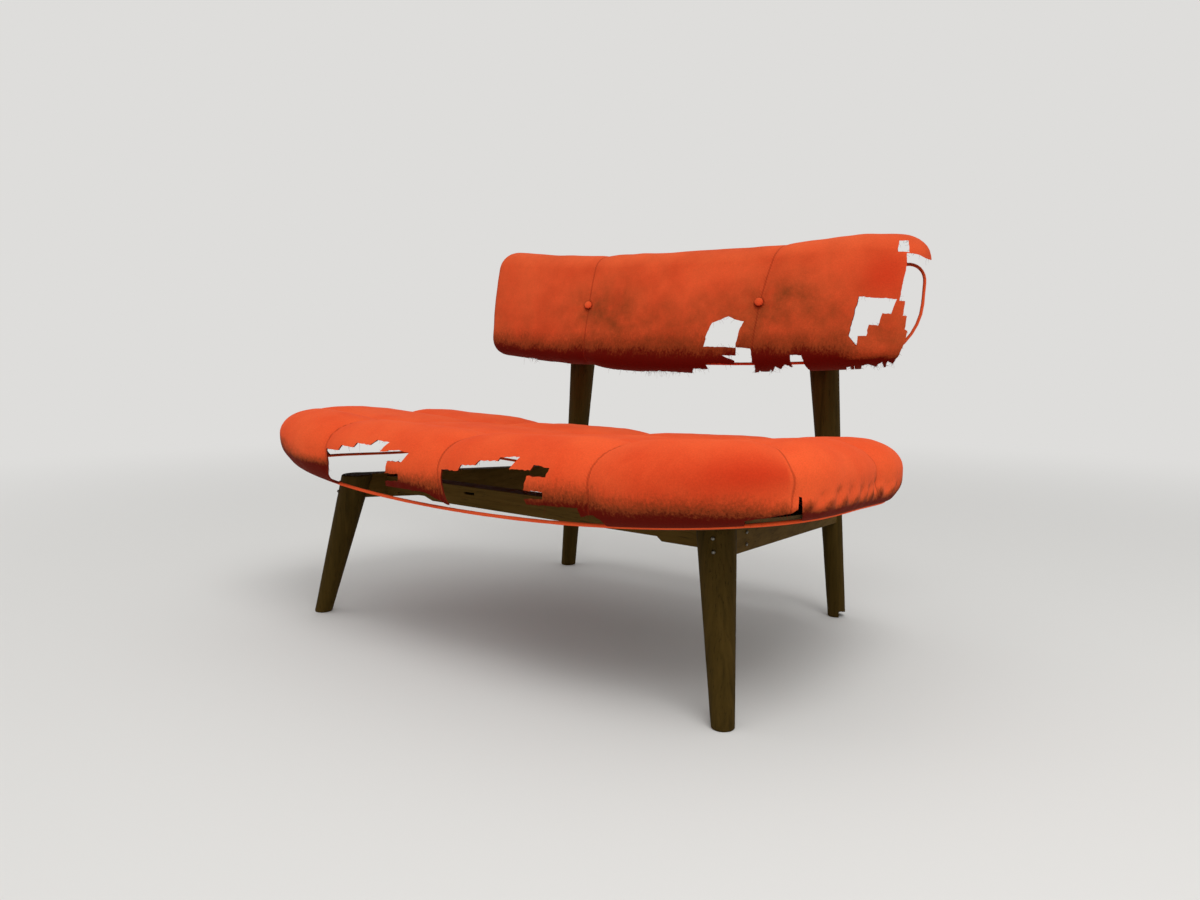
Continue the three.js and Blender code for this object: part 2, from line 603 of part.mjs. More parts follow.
// The wall of the cover, from its open rim over to the edge of the top, as loops with their heights
function seatWall() {
  const wall = [];
  const push = (grow, height) => wall.push({ height, loop: seatLoop(grow, height) });
  for (let i = 0; i <= LOWER_STEPS; i += 1) {
    const turn = (Math.PI / 2) * (i / LOWER_STEPS);
    const grow = (angle) => pipingRoom + (seatBulge(angle) - pipingRoom) * Math.sin(turn);
    push(grow, SEAT_WIDEST_HEIGHT * (1 - Math.cos(turn)));
  }
  for (let i = 1; i <= UPPER_STEPS; i += 1) {
    const turn = (Math.PI / 2) * (i / UPPER_STEPS);
    const grow = (angle) => seatBulge(angle) - (seatBulge(angle) + SEAT_TOP_INSET) * (1 - Math.cos(turn));
    push(grow, SEAT_WIDEST_HEIGHT + (SEAT_COVER_HEIGHT - SEAT_WIDEST_HEIGHT) * Math.sin(turn));
  }
  return wall;
}

// Numbers of the points of the top by row and column: its edge belongs to the wall, the rest follows
function seatTopNumbers(edgeStart) {
  const around = seatStations.length;
  const inside = edgeStart + around;
  return Array.from({ length: seatRows + 1 }, (_, i) => Array.from({ length: seatColumns + 1 }, (__, j) => {
    if (i === 0) return edgeStart + j;
    if (j === seatColumns) return edgeStart + seatColumns + i;
    if (i === seatRows) return edgeStart + 2 * seatColumns + seatRows - j;
    if (j === 0) return edgeStart + around - i;
    return inside + (i - 1) * (seatColumns - 1) + (j - 1);
  }));
}

// Points inside the top, blended between its four sides
function seatTopPoints() {
  const edge = seatStations.map((angle) => seatPlan(angle, -SEAT_TOP_INSET));
  const numbers = seatTopNumbers(0);
  const at = (i, j) => edge[numbers[i][j]];
  const blend = (a, b, share) => a.clone().lerp(b, share);
  const points = [];
  for (let i = 1; i < seatRows; i += 1) {
    for (let j = 1; j < seatColumns; j += 1) {
      const across = j / seatColumns;
      const back = i / seatRows;
      const sides = blend(at(i, 0), at(i, seatColumns), across);
      const ends = blend(at(0, j), at(seatRows, j), back);
      const front = blend(at(0, 0), at(0, seatColumns), across);
      const rear = blend(at(seatRows, 0), at(seatRows, seatColumns), across);
      points.push(seatPoint(sides.add(ends).sub(blend(front, rear, back)), SEAT_COVER_HEIGHT));
    }
  }
  return points;
}

function sheetNormals(points, faces) {
  const geometry = pointMesh(points, faces);
  const normals = geometry.attributes.normal;
  return points.map((_, i) => new THREE.Vector3().fromBufferAttribute(normals, i));
}

// How full the padding is at a distance from a seam
function padding(distance) {
  const short = 1 - Math.min(distance / PAD_WIDTH, 1);
  return Math.sqrt(1 - short * short);
}

// How far the seams and the padding move a point of the seat outwards
function quilting(point, height) {
  const nearest = (value, seams) => Math.min(...seams.map((seam) => Math.abs(value - seam)));
  const full = padding(nearest(point.x, seamColumns)) * padding(nearest(point.y, seamRows));
  const free = THREE.MathUtils.smoothstep(height, SEAM_START, SEAM_FULL);
  return free * (PAD_SWELL * full - SEAM_DEPTH * (1 - full));
}

function seatShell() {
  const wall = seatWall();
  const around = seatStations.length;
  const edgeStart = (wall.length - 1) * around;
  const numbers = seatTopNumbers(edgeStart);
  const plain = [...wall.flatMap((row) => row.loop), ...seatTopPoints()];
  const heightOf = (i) => wall[Math.min(Math.floor(i / around), wall.length - 1)].height;
  const faces = [];
  const quad = (a, b, c, d) => faces.push(a, b, c, a, c, d);
  for (let i = 0; i < wall.length - 1; i += 1) {
    for (let j = 0; j < around; j += 1) {
      const next = (j + 1) % around;
      quad(i * around + j, i * around + next, (i + 1) * around + next, (i + 1) * around + j);
    }
  }
  for (let i = 0; i < seatRows; i += 1) {
    for (let j = 0; j < seatColumns; j += 1) {
      quad(numbers[i][j], numbers[i][j + 1], numbers[i + 1][j + 1], numbers[i + 1][j]);
    }
  }
  const plainNormals = sheetNormals(plain, faces);
  const outer = plain.map((p, i) => p.clone().addScaledVector(plainNormals[i], quilting(p, heightOf(i))));
  const normals = sheetNormals(outer, faces);
  const inner = outer.map((p, i) => {
    if (i < around) return p.clone().addScaledVector(UP, COVER_THICK);
    return p.clone().addScaledVector(normals[i], -COVER_THICK);
  });
  const count = outer.length;
  const inside = faces.map((number) => number + count).reverse();
  faces.push(...inside);
  for (let j = 0; j < around; j += 1) {
    const next = (j + 1) % around;
    quad(next, j, count + j, count + next);
  }
  return pointMesh([...outer, ...inner], faces);
}

function seatCover() {
  const raised = (outline) => outline.map(([across, up]) => [across, up + seatLoopZ]);
  const fromFront = (outline, depth) => prism(raised(outline), 'y', -wellOutside, seatFrontY + depth);
  const slit = slanted(raised(SEAT_TEAR_RIGHT), -wellOutside, seatFrontY + SEAT_RIGHT_TEAR_DEPTH,
    seatFrontY + SEAT_FRONT_TEAR_DEPTH, SEAT_SLIT_SLANT);
  return cut(
    seatShell(),
    fromFront(SEAT_TEAR_LEFT, SEAT_FRONT_TEAR_DEPTH),
    fromFront(SEAT_TEAR_MIDDLE, SEAT_FRONT_TEAR_DEPTH),
    slit,
    prism(raised(SEAT_TEAR_SIDE), 'x', -wellOutside, SEAT_SIDE_TEAR_DEPTH - SEAT_HALF_WIDTH),
    prism(raised(SEAT_TEAR_REAR), 'y', seatRearY - SEAT_REAR_TEAR_DEPTH, wellOutside),
  );
}

// Board under the cover: its edge lies inside the turned-in rim of the cover
function seatBoard() {
  const loops = seatWall().map((row) => row.loop);
  const edge = sunk(loops, COVER_THICK + FIT, UP).slice(0, 2);
  const rim = COVER_THICK + FIT;
  const flat = (share, height) => seatInset(-BOARD_CHAMFER, share, height);
  const rings = [flat(BOARD_RING, -BOARD_DROP), flat(1, -BOARD_DROP), seatInset(-pipingRoom, 1, rim), ...edge,
    flat(1, BOARD_RISE), flat(BOARD_RING, BOARD_RISE)];
  const board = skin(rings, seatPoint(seatMiddle, -BOARD_DROP), seatPoint(seatMiddle, BOARD_RISE));
  const lost = [...SEAT_BREAK, [-wellOutside, SEAT_BREAK.at(-1)[1]], [-wellOutside, SEAT_BREAK[0][1]]];
  const frontRailRoom = crossRail(frontRailOutline(), -FRONT_RAIL_FORWARD, FRONT_RAIL_THICK, FIT);
  frontRailRoom.translate(0, 0, FIT);
  return cut(
    board,
    prism(lost, 'z', -wellOutside, wellOutside),
    sideRailBlank(1, FIT),
    frontLeg(1, FIT),
    frontRailRoom,
  );
}

// Backrest surface: across, up along the leaning back, and forward
function backPoint(across, up, forward) {
  const z = BACK_MIDDLE_Z + up + BACK_DISH * (across / BACK_DISH_SPAN) ** 2 - BACK_TILT * across;
  return new THREE.Vector3(across, BACK_REAR_Y + BACK_LEAN * (z - BACK_MIDDLE_Z) - forward, z);
}

// A rectangle with round corners, from the lower right round to the left
function roundedOutline(half, top, bottom, topR, bottomR) {
  const points = [];
  const corner = (x, y, r, start) => {
    for (let i = 0; i < BACK_CORNER_STEPS; i += 1) {
      const angle = start + (Math.PI / 2) * (i / BACK_CORNER_STEPS);
      points.push(new THREE.Vector2(x + r * Math.cos(angle), y + r * Math.sin(angle)));
    }
  };
  const run = (x0, y0, x1, y1, steps) => {
    for (let i = 0; i < steps; i += 1) {
      points.push(new THREE.Vector2(x0 + ((x1 - x0) * i) / steps, y0 + ((y1 - y0) * i) / steps));
    }
  };
  run(half, bottom + bottomR, half, top - topR, BACK_SHORT_STEPS);
  corner(half - topR, top - topR, topR, 0);
  run(half - topR, top, -half + topR, top, BACK_LONG_STEPS);
  corner(-half + topR, top - topR, topR, Math.PI / 2);
  run(-half, top - topR, -half, bottom + bottomR, BACK_SHORT_STEPS);
  corner(-half + bottomR, bottom + bottomR, bottomR, Math.PI);
  run(-half + bottomR, bottom, half - bottomR, bottom, BACK_LONG_STEPS);
  corner(half - bottomR, bottom + bottomR, bottomR, 1.5 * Math.PI);
  return points;
}

const backLoopPlan = (grow) => roundedOutline(
  BACK_LOOP_HALF_WIDTH + grow, BACK_LOOP_TOP + grow, -BACK_LOOP_BOTTOM - grow,
  BACK_LOOP_TOP_R + grow, BACK_LOOP_BOTTOM_R + grow,
);
const backWidestPlan = (inset) => roundedOutline(
  BACK_HALF_WIDTH - inset, BACK_HALF_HEIGHT - inset, -BACK_HALF_HEIGHT + inset,
  BACK_CORNER_R - inset, BACK_CORNER_R - inset,
);
const lifted = (plan, forward) => plan.map((p) => backPoint(p.x, p.y, forward));

function backCoverLoops() {
  const loops = [];
  const loop = backLoopPlan(pipingRoom);
  const widest = backWidestPlan(0);
  for (let i = 0; i <= LOWER_STEPS; i += 1) {
    const turn = (Math.PI / 2) * (i / LOWER_STEPS);
    const plan = loop.map((p, j) => p.clone().lerp(widest[j], Math.sin(turn)));
    loops.push(lifted(plan, BACK_WIDEST_DEPTH * (1 - Math.cos(turn))));
  }
  for (let i = 1; i <= UPPER_STEPS; i += 1) {
    const turn = (Math.PI / 2) * (i / UPPER_STEPS);
    const plan = backWidestPlan(BACK_FACE_INSET * (1 - Math.cos(turn)));
    loops.push(lifted(plan, BACK_WIDEST_DEPTH + (BACK_THICK - BACK_WIDEST_DEPTH) * Math.sin(turn)));
  }
  for (let i = 1; i <= FACE_STEPS; i += 1) {
    const share = 1 - i / (FACE_STEPS + 1);
    const plan = backWidestPlan(BACK_FACE_INSET).map((p) => p.clone().multiplyScalar(share));
    loops.push(lifted(plan, BACK_THICK + BACK_CROWN * (1 - share * share)));
  }
  return loops;
}

const FORWARD = new THREE.Vector3(0, -1, 0);

// How far forward the face stands, a little further in the middle
function backFace(across, up) {
  const share = Math.max(
    Math.abs(across) / (BACK_HALF_WIDTH - BACK_FACE_INSET),
    Math.abs(up) / (BACK_HALF_HEIGHT - BACK_FACE_INSET),
  );
  return BACK_THICK + BACK_CROWN * (1 - share * share);
}

function backrestCover() {
  const shell = coverShell(backCoverLoops(), backPoint(0, 0, BACK_THICK + BACK_CROWN), FORWARD);
  const faceY = BACK_REAR_Y - BACK_THICK - BACK_CROWN;
  const through = (outline) => prism(outline, 'y', -wellOutside, wellOutside);
  const faceOnly = (outline) => prism(outline, 'y', -wellOutside, faceY + BACK_FACE_TEAR_DEPTH);
  const atEnd = (outline) => slanted(
    outline, -wellOutside, wellOutside, BACK_REAR_Y - BACK_END_FACE, BACK_END_SLANT,
  );
  return cut(
    shell,
    faceOnly(BACK_TEAR_PANE),
    through(BACK_TEAR_HEM),
    through(BACK_TEAR_NICK),
    faceOnly(BACK_TEAR_STEPS),
    atEnd(BACK_TEAR_CORNER),
    atEnd(BACK_TEAR_END),
  );
}

function backBoard() {
  const edge = sunk(backCoverLoops(), COVER_THICK + FIT, FORWARD).slice(0, 2);
  const rim = COVER_THICK + FIT;
  const back = -PIPING_D / 2;
  const flat = (share, forward) => lifted(
    backLoopPlan(-BOARD_CHAMFER).map((p) => p.clone().multiplyScalar(share)), forward,
  );
  const loops = [flat(BOARD_RING, back), flat(1, back), lifted(backLoopPlan(-pipingRoom), rim), ...edge,
    flat(1, BOARD_RISE), flat(BOARD_RING, BOARD_RISE)];
  const board = skin(loops, backPoint(0, 0, back), backPoint(0, 0, BOARD_RISE));
  const lost = [...BACK_BREAK, [wellOutside, BACK_BREAK.at(-1)[1]], [wellOutside, BACK_BREAK[0][1]]];
  return cut(board, prism(lost, 'y', -wellOutside, wellOutside));
}

// The posts are planed flat in front, from below the backrest up, so that it lies against them
function finishedPost(side) {
  const planeY = (z) => BACK_REAR_Y + BACK_LEAN * (z - BACK_MIDDLE_Z) + pipingRoom;
  const low = BACK_MIDDLE_Z - 2 * BACK_HALF_HEIGHT;
  const high = BACK_MIDDLE_Z + 2 * BACK_HALF_HEIGHT;
  const front = [[-wellOutside, low], [planeY(low), low], [planeY(high), high], [-wellOutside, high]];
  const planed = prism(front, 'x', -wellOutside, wellOutside);
  if (side < 0) return cut(rearPost(side), planed);
  const start = rearFootX + CHIP_IN;
  const chip = [[start, -CHIP_HEIGHT], [rearFootX + POST_FOOT_D, -CHIP_HEIGHT],
    [rearFootX + POST_FOOT_D, CHIP_HEIGHT], [start + CHIP_HEIGHT / 4, CHIP_HEIGHT / 2]];
  return cut(rearPost(side), planed, prism(chip, 'y', -wellOutside, wellOutside));
}

// Covered button: a low dome on the face of the backrest
function button(side) {
  const radius = BUTTON_D / 2;
  const dome = BUTTON_DOME.map(([r, h]) => [radius * r, BUTTON_HEIGHT * h]);
  const profile = [[0, 0], ...dome, [0, BUTTON_HEIGHT]].map(([r, y]) => new THREE.Vector2(r, y));
  const shape = new THREE.LatheGeometry(profile, BUTTON_SIDES);
  const spot = backPoint(side * BUTTON_X, BUTTON_UP, backFace(BUTTON_X, BUTTON_UP) + FIT);
  return alongLine(shape, spot, new THREE.Vector3(0, -1, BACK_LEAN).normalize());
}

// The chair
const chair = new THREE.Group();
function add(name, geometry, material) {
  const mesh = new THREE.Mesh(geometry, material);
  mesh.name = name;
  chair.add(mesh);
}

for (const [sideName, side] of [['left', -1], ['right', 1]]) {
  add(`front_leg_${sideName}`, cut(frontLeg(side), ...holesOn(side)), OLIVE_WOOD);
  add(`rear_post_${sideName}`, finishedPost(side), OLIVE_WOOD);
  add(`side_rail_${sideName}`, sideRail(side), OLIVE_WOOD);
  add(`back_button_${sideName}`, button(side), ORANGE_VELVET);
}
add('front_rail', frontRail(), OLIVE_WOOD);
add('rear_rail', rearRail(), OLIVE_WOOD);
for (const line of screwLines) {
  add(line.name, alongLine(screwShape(line.length), line.start, line.direction), STEEL);
}
add('seat_board', seatBoard(), PLYWOOD);
add('seat_cover', seatCover(), ORANGE_VELVET);
add('seat_piping', cordLoop(seatLoop(() => 0, 0), PIPING_D, UP), ORANGE_VELVET);
add('back_board', backBoard(), PLYWOOD);
add('backrest_cover', backrestCover(), ORANGE_VELVET);
add('backrest_piping', cordLoop(lifted(backLoopPlan(0), 0), PIPING_D, FORWARD), ORANGE_VELVET);

// The origin lies on the floor, under the middle of the whole chair
const box = new THREE.Box3().setFromObject(chair);
const middle = box.getCenter(new THREE.Vector3());
chair.position.set(-middle.x, -middle.y, -box.min.z);

export default chair;
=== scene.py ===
"""Broken lounge chair: a dark turned frame with a torn, empty velvet seat and backrest.

The covers, pipings, buttons, legs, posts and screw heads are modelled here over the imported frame.
Sizes are in millimetres with y = 0 midway between the feet, and are moved into the frame in metres.
"""

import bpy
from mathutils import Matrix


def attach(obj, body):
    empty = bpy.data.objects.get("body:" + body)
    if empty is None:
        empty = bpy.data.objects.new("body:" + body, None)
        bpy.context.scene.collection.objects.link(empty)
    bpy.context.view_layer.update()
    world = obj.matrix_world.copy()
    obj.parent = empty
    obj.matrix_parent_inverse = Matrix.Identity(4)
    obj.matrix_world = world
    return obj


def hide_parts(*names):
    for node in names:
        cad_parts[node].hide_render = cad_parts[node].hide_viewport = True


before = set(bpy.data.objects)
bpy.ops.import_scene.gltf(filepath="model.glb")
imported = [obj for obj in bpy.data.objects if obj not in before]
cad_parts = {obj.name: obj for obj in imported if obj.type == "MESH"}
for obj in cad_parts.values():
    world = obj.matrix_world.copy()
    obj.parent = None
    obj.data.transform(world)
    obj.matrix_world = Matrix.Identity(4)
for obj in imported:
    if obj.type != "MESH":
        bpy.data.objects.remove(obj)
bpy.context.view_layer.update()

import logging
import math
from dataclasses import dataclass, field
from enum import Enum
from typing import Sequence

import bmesh
import bpy
import numpy as np
from mathutils import Vector
from mathutils.kdtree import KDTree

log = logging.getLogger("broken_lounge_chair")
Tree = bpy.types.NodeTree
Socket = bpy.types.NodeSocket
Material = bpy.types.Material
Piece = bpy.types.Object
Pair = tuple[float, float]
Triple = tuple[float, float, float]
Outline = Sequence[Pair]  # corners, or values at places
Waves = Sequence[tuple[float, float, int]]  # depth, pitch and seed of each ripple
MM = 0.001
FRAME_SHIFT_Y = 31.148  # from midway between the feet to the middle of the whole chair
PAINTED_LIGHT_WAY = np.array([0.45, -0.47, 0.76])  # about the key light's direction; cloth turned from it gets painted shade in dark red
PAINTED_SHADE_REACH = 0.02  # how far the painted shade reaches onto the side that faces that light
VIEWER = np.array([1107.3, -1374.6, 523.4])  # where the photograph was taken from
FAR = 800.0  # well outside the chair, where a cut starts or ends
TEAR_SEED = 40  # the first tear's unevenness; each later tear has the next number
EDGE_SLOT = 2  # marks the torn edges of a cover until its threads have grown
NO_SEAM_MM = 20.0  # farther from a seam than its stitches and its painted shade show
PLAIN_CLOTH = {"unfaded": 0.0, "column_mm": NO_SEAM_MM, "row_mm": NO_SEAM_MM}
CLOTH_CREASE = math.radians(50)  # sharper edges of a cover are shaded sharp


class Grain(Enum):
    """The way that the wood's fibres run in a piece, as the stretched axis of its pattern."""

    ACROSS_THE_CHAIR = 0
    FRONT_TO_BACK = 1
    UPRIGHT = 2


class Axis(Enum):
    """The direction that a tear goes through a wall."""

    X = 0
    Y = 1


def srgb(code: str) -> tuple[float, float, float, float]:
    """Turn an sRGB hex colour into linear values.

    Args:
        code: A colour such as "#d9552c".

    Returns:
        Red, green, blue and alpha, in linear light.
    """
    parts = [int(code[i:i + 2], 16) / 255 for i in (1, 3, 5)]
    linear = [p / 12.92 if p <= 0.04045 else ((p + 0.055) / 1.055) ** 2.4 for p in parts]
    return (*linear, 1.0)


def node(tree: Tree, kind: str, settings: dict | None = None, sockets: dict | None = None) -> bpy.types.Node:
    """Add one shader node with its settings, socket values and links.

    Args:
        tree: The node tree it goes into.
        kind: Blender's name of the node.
        settings: Attributes to set on the node.
        sockets: Input name or number to a value, or to an output socket that is linked to it.

    Returns:
        The new node.
    """
    made = tree.nodes.new(kind)
    for name, value in (settings or {}).items():
        setattr(made, name, value)
    for name, value in (sockets or {}).items():
        if isinstance(value, Socket):
            tree.links.new(value, made.inputs[name])
        else:
            made.inputs[name].default_value = value
    return made


def new_material(name: str) -> tuple[Material, Tree, Socket]:
    """Make a node material that so far holds only the place on the piece.

    Args:
        name: The material's name.

    Returns:
        The material, its node tree, and the place on the piece in metres.
    """
    material = bpy.data.materials.new(name)
    material.use_nodes = True
    tree = material.node_tree
    tree.nodes.clear()
    return material, tree, node(tree, "ShaderNodeTexCoord").outputs["Object"]


def stored(tree: Tree, name: str) -> Socket:
    """Read a value that is stored on the points of the piece."""
    return node(tree, "ShaderNodeAttribute", {"attribute_name": name}).outputs["Fac"]


def stretched(tree: Tree, place: Socket, scale: Sequence[float]) -> Socket:
    """Scale a place along each axis, to draw a pattern out."""
    sockets = {"Vector": place, "Scale": scale}
    return node(tree, "ShaderNodeMapping", {"vector_type": "POINT"}, sockets).outputs[0]


def noise(tree: Tree, place: Socket, per_m: float, detail: float, rough: float = 0.5,
          twist: float = 0.0) -> Socket:
    """Add a cloudy pattern.

    Args:
        tree: The node tree.
        place: Where the pattern is looked up.
        per_m: How many of its clouds lie along one metre.
        detail: How many finer layers it has.
        rough: How strong the finer layers are.
        twist: How far the clouds are bent.

    Returns:
        The pattern, from 0 to 1.
    """
    return node(tree, "ShaderNodeTexNoise", None, {
        "Vector": place, "Scale": per_m, "Detail": detail, "Roughness": rough,
        "Distortion": twist}).outputs["Fac"]


def calc(tree: Tree, operation: str, *values: Socket | float, clamp: bool = False) -> Socket:
    """Do one sum on sockets and numbers."""
    return node(tree, "ShaderNodeMath", {"operation": operation, "use_clamp": clamp},
                dict(enumerate(values))).outputs[0]


def dot(tree: Tree, vector: Socket, way: Sequence[float]) -> Socket:
    """Measure a vector along a direction."""
    made = node(tree, "ShaderNodeVectorMath", {"operation": "DOT_PRODUCT"}, {0: vector, 1: way})
    return made.outputs["Value"]


def span(tree: Tree, value: Socket, source: Sequence[float], target: Sequence[float] = (0.0, 1.0),
         smooth: bool = True) -> Socket:
    """Map one span of values onto another.

    Args:
        tree: The node tree.
        value: The value.
        source: Where the span starts and ends.
        target: What its start and end become.
        smooth: Whether it eases in and out.

    Returns:
        The mapped value.
    """
    return node(tree, "ShaderNodeMapRange", {"interpolation_type": "SMOOTHSTEP" if smooth else "LINEAR"}, {
        "Value": value, "From Min": source[0], "From Max": source[1],
        "To Min": target[0], "To Max": target[1]}).outputs[0]


def blend(tree: Tree, share: Socket, first: Socket | str, second: Socket | str) -> Socket:
    """Mix two colours, each a socket or a hex code, by the share of the second."""
    first, second = (srgb(colour) if isinstance(colour, str) else colour for colour in (first, second))
    return node(tree, "ShaderNodeMix", {"data_type": "RGBA"}, {0: share, 6: first, 7: second}).outputs[2]


def ramp(tree: Tree, factor: Socket, stops: Sequence[tuple[float, str]]) -> Socket:
    """Colour a factor by a row of hex stops.

    Args:
        tree: The node tree.
        factor: The value that picks the colour.
        stops: Positions and hex colours.

    Returns:
        The colour.
    """
    made = node(tree, "ShaderNodeValToRGB", None, {"Fac": factor})
    elements = made.color_ramp.elements
    while len(elements) < len(stops):
        elements.new(1.0)
    for element, (place, code) in zip(elements, stops):
        element.position = place
        element.color = srgb(code)
    return made.outputs["Color"]


def bumped(tree: Tree, height: Socket, strength: float, depth_m: float,
           under: Socket | None = None) -> Socket:
    """Tilt the surface by a height pattern.

    Args:
        tree: The node tree.
        height: The pattern.
        strength: How much of it shows.
        depth_m: Its depth in metres.
        under: The normal of an earlier bump or bevel.

    Returns:
        The tilted normal.
    """
    sockets = {"Height": height, "Strength": strength, "Distance": depth_m}
    if under is not None:
        sockets["Normal"] = under
    return node(tree, "ShaderNodeBump", None, sockets).outputs["Normal"]


def surface(tree: Tree, sockets: dict) -> None:
    """Finish a material with a surface of these socket values."""
    shader = node(tree, "ShaderNodeBsdfPrincipled", None, sockets)
    node(tree, "ShaderNodeOutputMaterial", None, {"Surface": shader.outputs[0]})


@dataclass(frozen=True)
class CutPileVelvet:
    """Cotton velvet, woven with a cut pile, with painted shade in brown and dark red on the side turned from
    the key light and low down.
    """

    name: str = "cotton_velvet_cut_pile_seat"
    faded: str = "#f25f31"
    full: str = "#ea5329"
    # wear colour, which on the seat's front and over the backrest is also painted shade
    worn: str = "#cc3517"
    # painted shade: brown, between the lit orange and the dark red
    half_shade: str = "#7a3415"
    shaded: str = "#5c0800"
    # painted shade in the seams' grooves
    seam_shade: str = "#7e230c"
    unfaded: str = "#c42a10"
    sheen: str = "#ff8a58"
    pile_mm: float = 2.4  # the real pile is finer; drawn this coarse so that it shows
    nap: Pair = (0.9, 1.08)  # brightness between the pile's tufts and on them
    mottle_mm: float = 85.0
    patch_mm: float = 44.0
    # grain of the painted shade's edge
    shade_grain_mm: float = 4.0
    shade_grain_drawn: Triple = (1.0, 1.0, 0.6)  # drawn out downwards
    # width of the painted shade in a seam, where the stitches' pucker begins
    seam_mm: float = 2.8
    seam_shade_share: float = 0.42
    pucker_mm: float = 7.0
    stitch_mm: float = 7.0  # the real stitches are shorter; drawn this long so that they show

    def material(self) -> Material:
        """Build the velvet: a soft orange nap, crisp sewn seams with painted shade in their grooves, and
        painted shade in dark red where the cloth turns from the key light.

        Returns:
            The material.
        """
        material, tree, place = new_material(self.name)
        mottle = noise(tree, place, 1000 / self.mottle_mm, 3.0)
        patch = noise(tree, place, 1000 / self.patch_mm, 6.0, 0.66)
        pile = noise(tree, place, 1000 / self.pile_mm, 2.0, 0.7)
        shade_grain = noise(tree, stretched(tree, place, self.shade_grain_drawn), 1000 / self.shade_grain_mm, 5.0, 0.78)
        even = ramp(tree, mottle, ((0.3, self.full), (0.62, self.faded)))
        base = blend(tree, stored(tree, "unfaded"), even, self.unfaded)
        patchy = calc(tree, "MULTIPLY_ADD", patch, 1.2, -0.1)
        rubbed = calc(tree, "MULTIPLY", patchy, stored(tree, "wear"), clamp=True)
        aged = blend(tree, rubbed, base, self.worn)
        # Painted shade: the key light's side and the lower edge, with a grainy edge, turn the cloth brown and
        # then dark red.
        grain = calc(tree, "MULTIPLY_ADD", shade_grain, 0.5, stored(tree, "painted_light"))
        dull = blend(tree, span(tree, grain, (0.24, 0.66)), self.half_shade, aged)
        turned = blend(tree, span(tree, grain, (0.2, 0.34)), self.shaded, dull)
        # Painted shade in the seams' grooves, and on the backrest a painted shadow ring round each button.
        beside = [calc(tree, "ABSOLUTE", stored(tree, name)) for name in ("column_mm", "row_mm")]
        seam = calc(tree, "MINIMUM", *beside)
        shut = span(tree, seam, (self.seam_mm * 0.15, self.seam_mm), (self.seam_shade_share, 0.0))
        sewn = blend(tree, shut, turned, self.seam_shade)
        nap = span(tree, pile, (0.25, 0.75), self.nap, False)
        colour = node(tree, "ShaderNodeVectorMath", {"operation": "SCALE"}, {0: sewn, "Scale": nap})
        beat = calc(tree, "MULTIPLY", dot(tree, place, (1, 1, 1)), 1000 / self.stitch_mm)
        near = span(tree, seam, (self.seam_mm, self.pucker_mm), (1.0, 0.0))
        pucker = calc(tree, "MULTIPLY", calc(tree, "PINGPONG", beat, 0.5), near)
        sunk = bumped(tree, calc(tree, "SUBTRACT", pucker, shut), 0.7, 0.0014)
        surface(tree, {
            "Base Color": colour.outputs[0], "Roughness": 0.88, "IOR": 1.45,
            "Specular IOR Level": 0.08, "Sheen Weight": 0.1, "Sheen Roughness": 0.45,
            "Sheen Tint": srgb(self.sheen), "Normal": bumped(tree, pile, 0.35, 0.0006, sunk)})
        return material


@dataclass(frozen=True)
class LiningCloth:
    """Plain-woven cotton backing, dyed dark red, seen at the tears and inside the covers."""

    name: str = "cotton_backing_plain_weave"
    dye: str = "#6a1206"
    dust: str = "#8c2c18"
    dust_per_m: float = 18.0
    thread_mm: float = 2.0  # the real weave is finer; drawn this coarse so that it shows

    def material(self) -> Material:
        """Build the backing: flat dark red with a fine checked weave.

        Returns:
            The material.
        """
        material, tree, place = new_material(self.name)
        weave = node(tree, "ShaderNodeTexVoronoi", {"distance": "CHEBYCHEV"}, {
            "Vector": place, "Scale": 1000 / self.thread_mm, "Randomness": 0.25})
        colour = ramp(tree, noise(tree, place, self.dust_per_m, 4.0), ((0.35, self.dye), (0.8, self.dust)))
        surface(tree, {
            "Base Color": colour, "Roughness": 0.92, "IOR": 1.45, "Specular IOR Level": 0.15,
            "Normal": bumped(tree, weave.outputs["Distance"], 0.3, 0.0005)})
        return material


@dataclass(frozen=True)
class OiledAsh:
    """Ash, turned and planed, stained dark olive brown and oiled, with open grain."""

    grain: Grain
    pale: str = "#4a3815"
    middle: str = "#40300f"
    dark: str = "#33260a"
    pore: str = "#251b05"
    ring_mm: float = 9.0
    pore_mm: float = 2.2  # the real pores are finer; drawn this coarse so that they show
    patches_per_m: float = 9.0
    stretch: float = 22.0
    soft_edge_m: float = 0.0014
    gloss: Pair = (0.62, 0.8)  # roughness where the oil lies thick and thin

    def material(self) -> Material:
        """Build the wood: streaks and pores drawn out along the fibres, dull oil gloss, soft edges.

        Returns:
            The material.
        """
        material, tree, place = new_material("ash_stained_oiled_" + self.grain.name.lower())
        scale = [1.0, 1.0, 1.0]
        scale[self.grain.value] = 1 / self.stretch
        along = stretched(tree, place, scale)
        rings = noise(tree, along, 1000 / self.ring_mm, 5.0, 0.6, 0.6)
        pores = noise(tree, along, 1000 / self.pore_mm, 3.0, 0.7)
        patches = noise(tree, place, self.patches_per_m, 4.0)
        streak = calc(tree, "MULTIPLY_ADD", patches, 0.4, rings)
        wood = ramp(tree, streak, ((0.45, self.dark), (0.68, self.middle), (0.95, self.pale)))
        edge = node(tree, "ShaderNodeBevel", {"samples": 4}, {"Radius": self.soft_edge_m}).outputs["Normal"]
        surface(tree, {
            "Base Color": blend(tree, span(tree, pores, (0.26, 0.44)), self.pore, wood),
            "Roughness": span(tree, patches, (0.0, 1.0), self.gloss, False), "IOR": 1.48,
            "Specular IOR Level": 0.05, "Normal": bumped(tree, pores, 0.25, 0.0006, edge)})
        return material


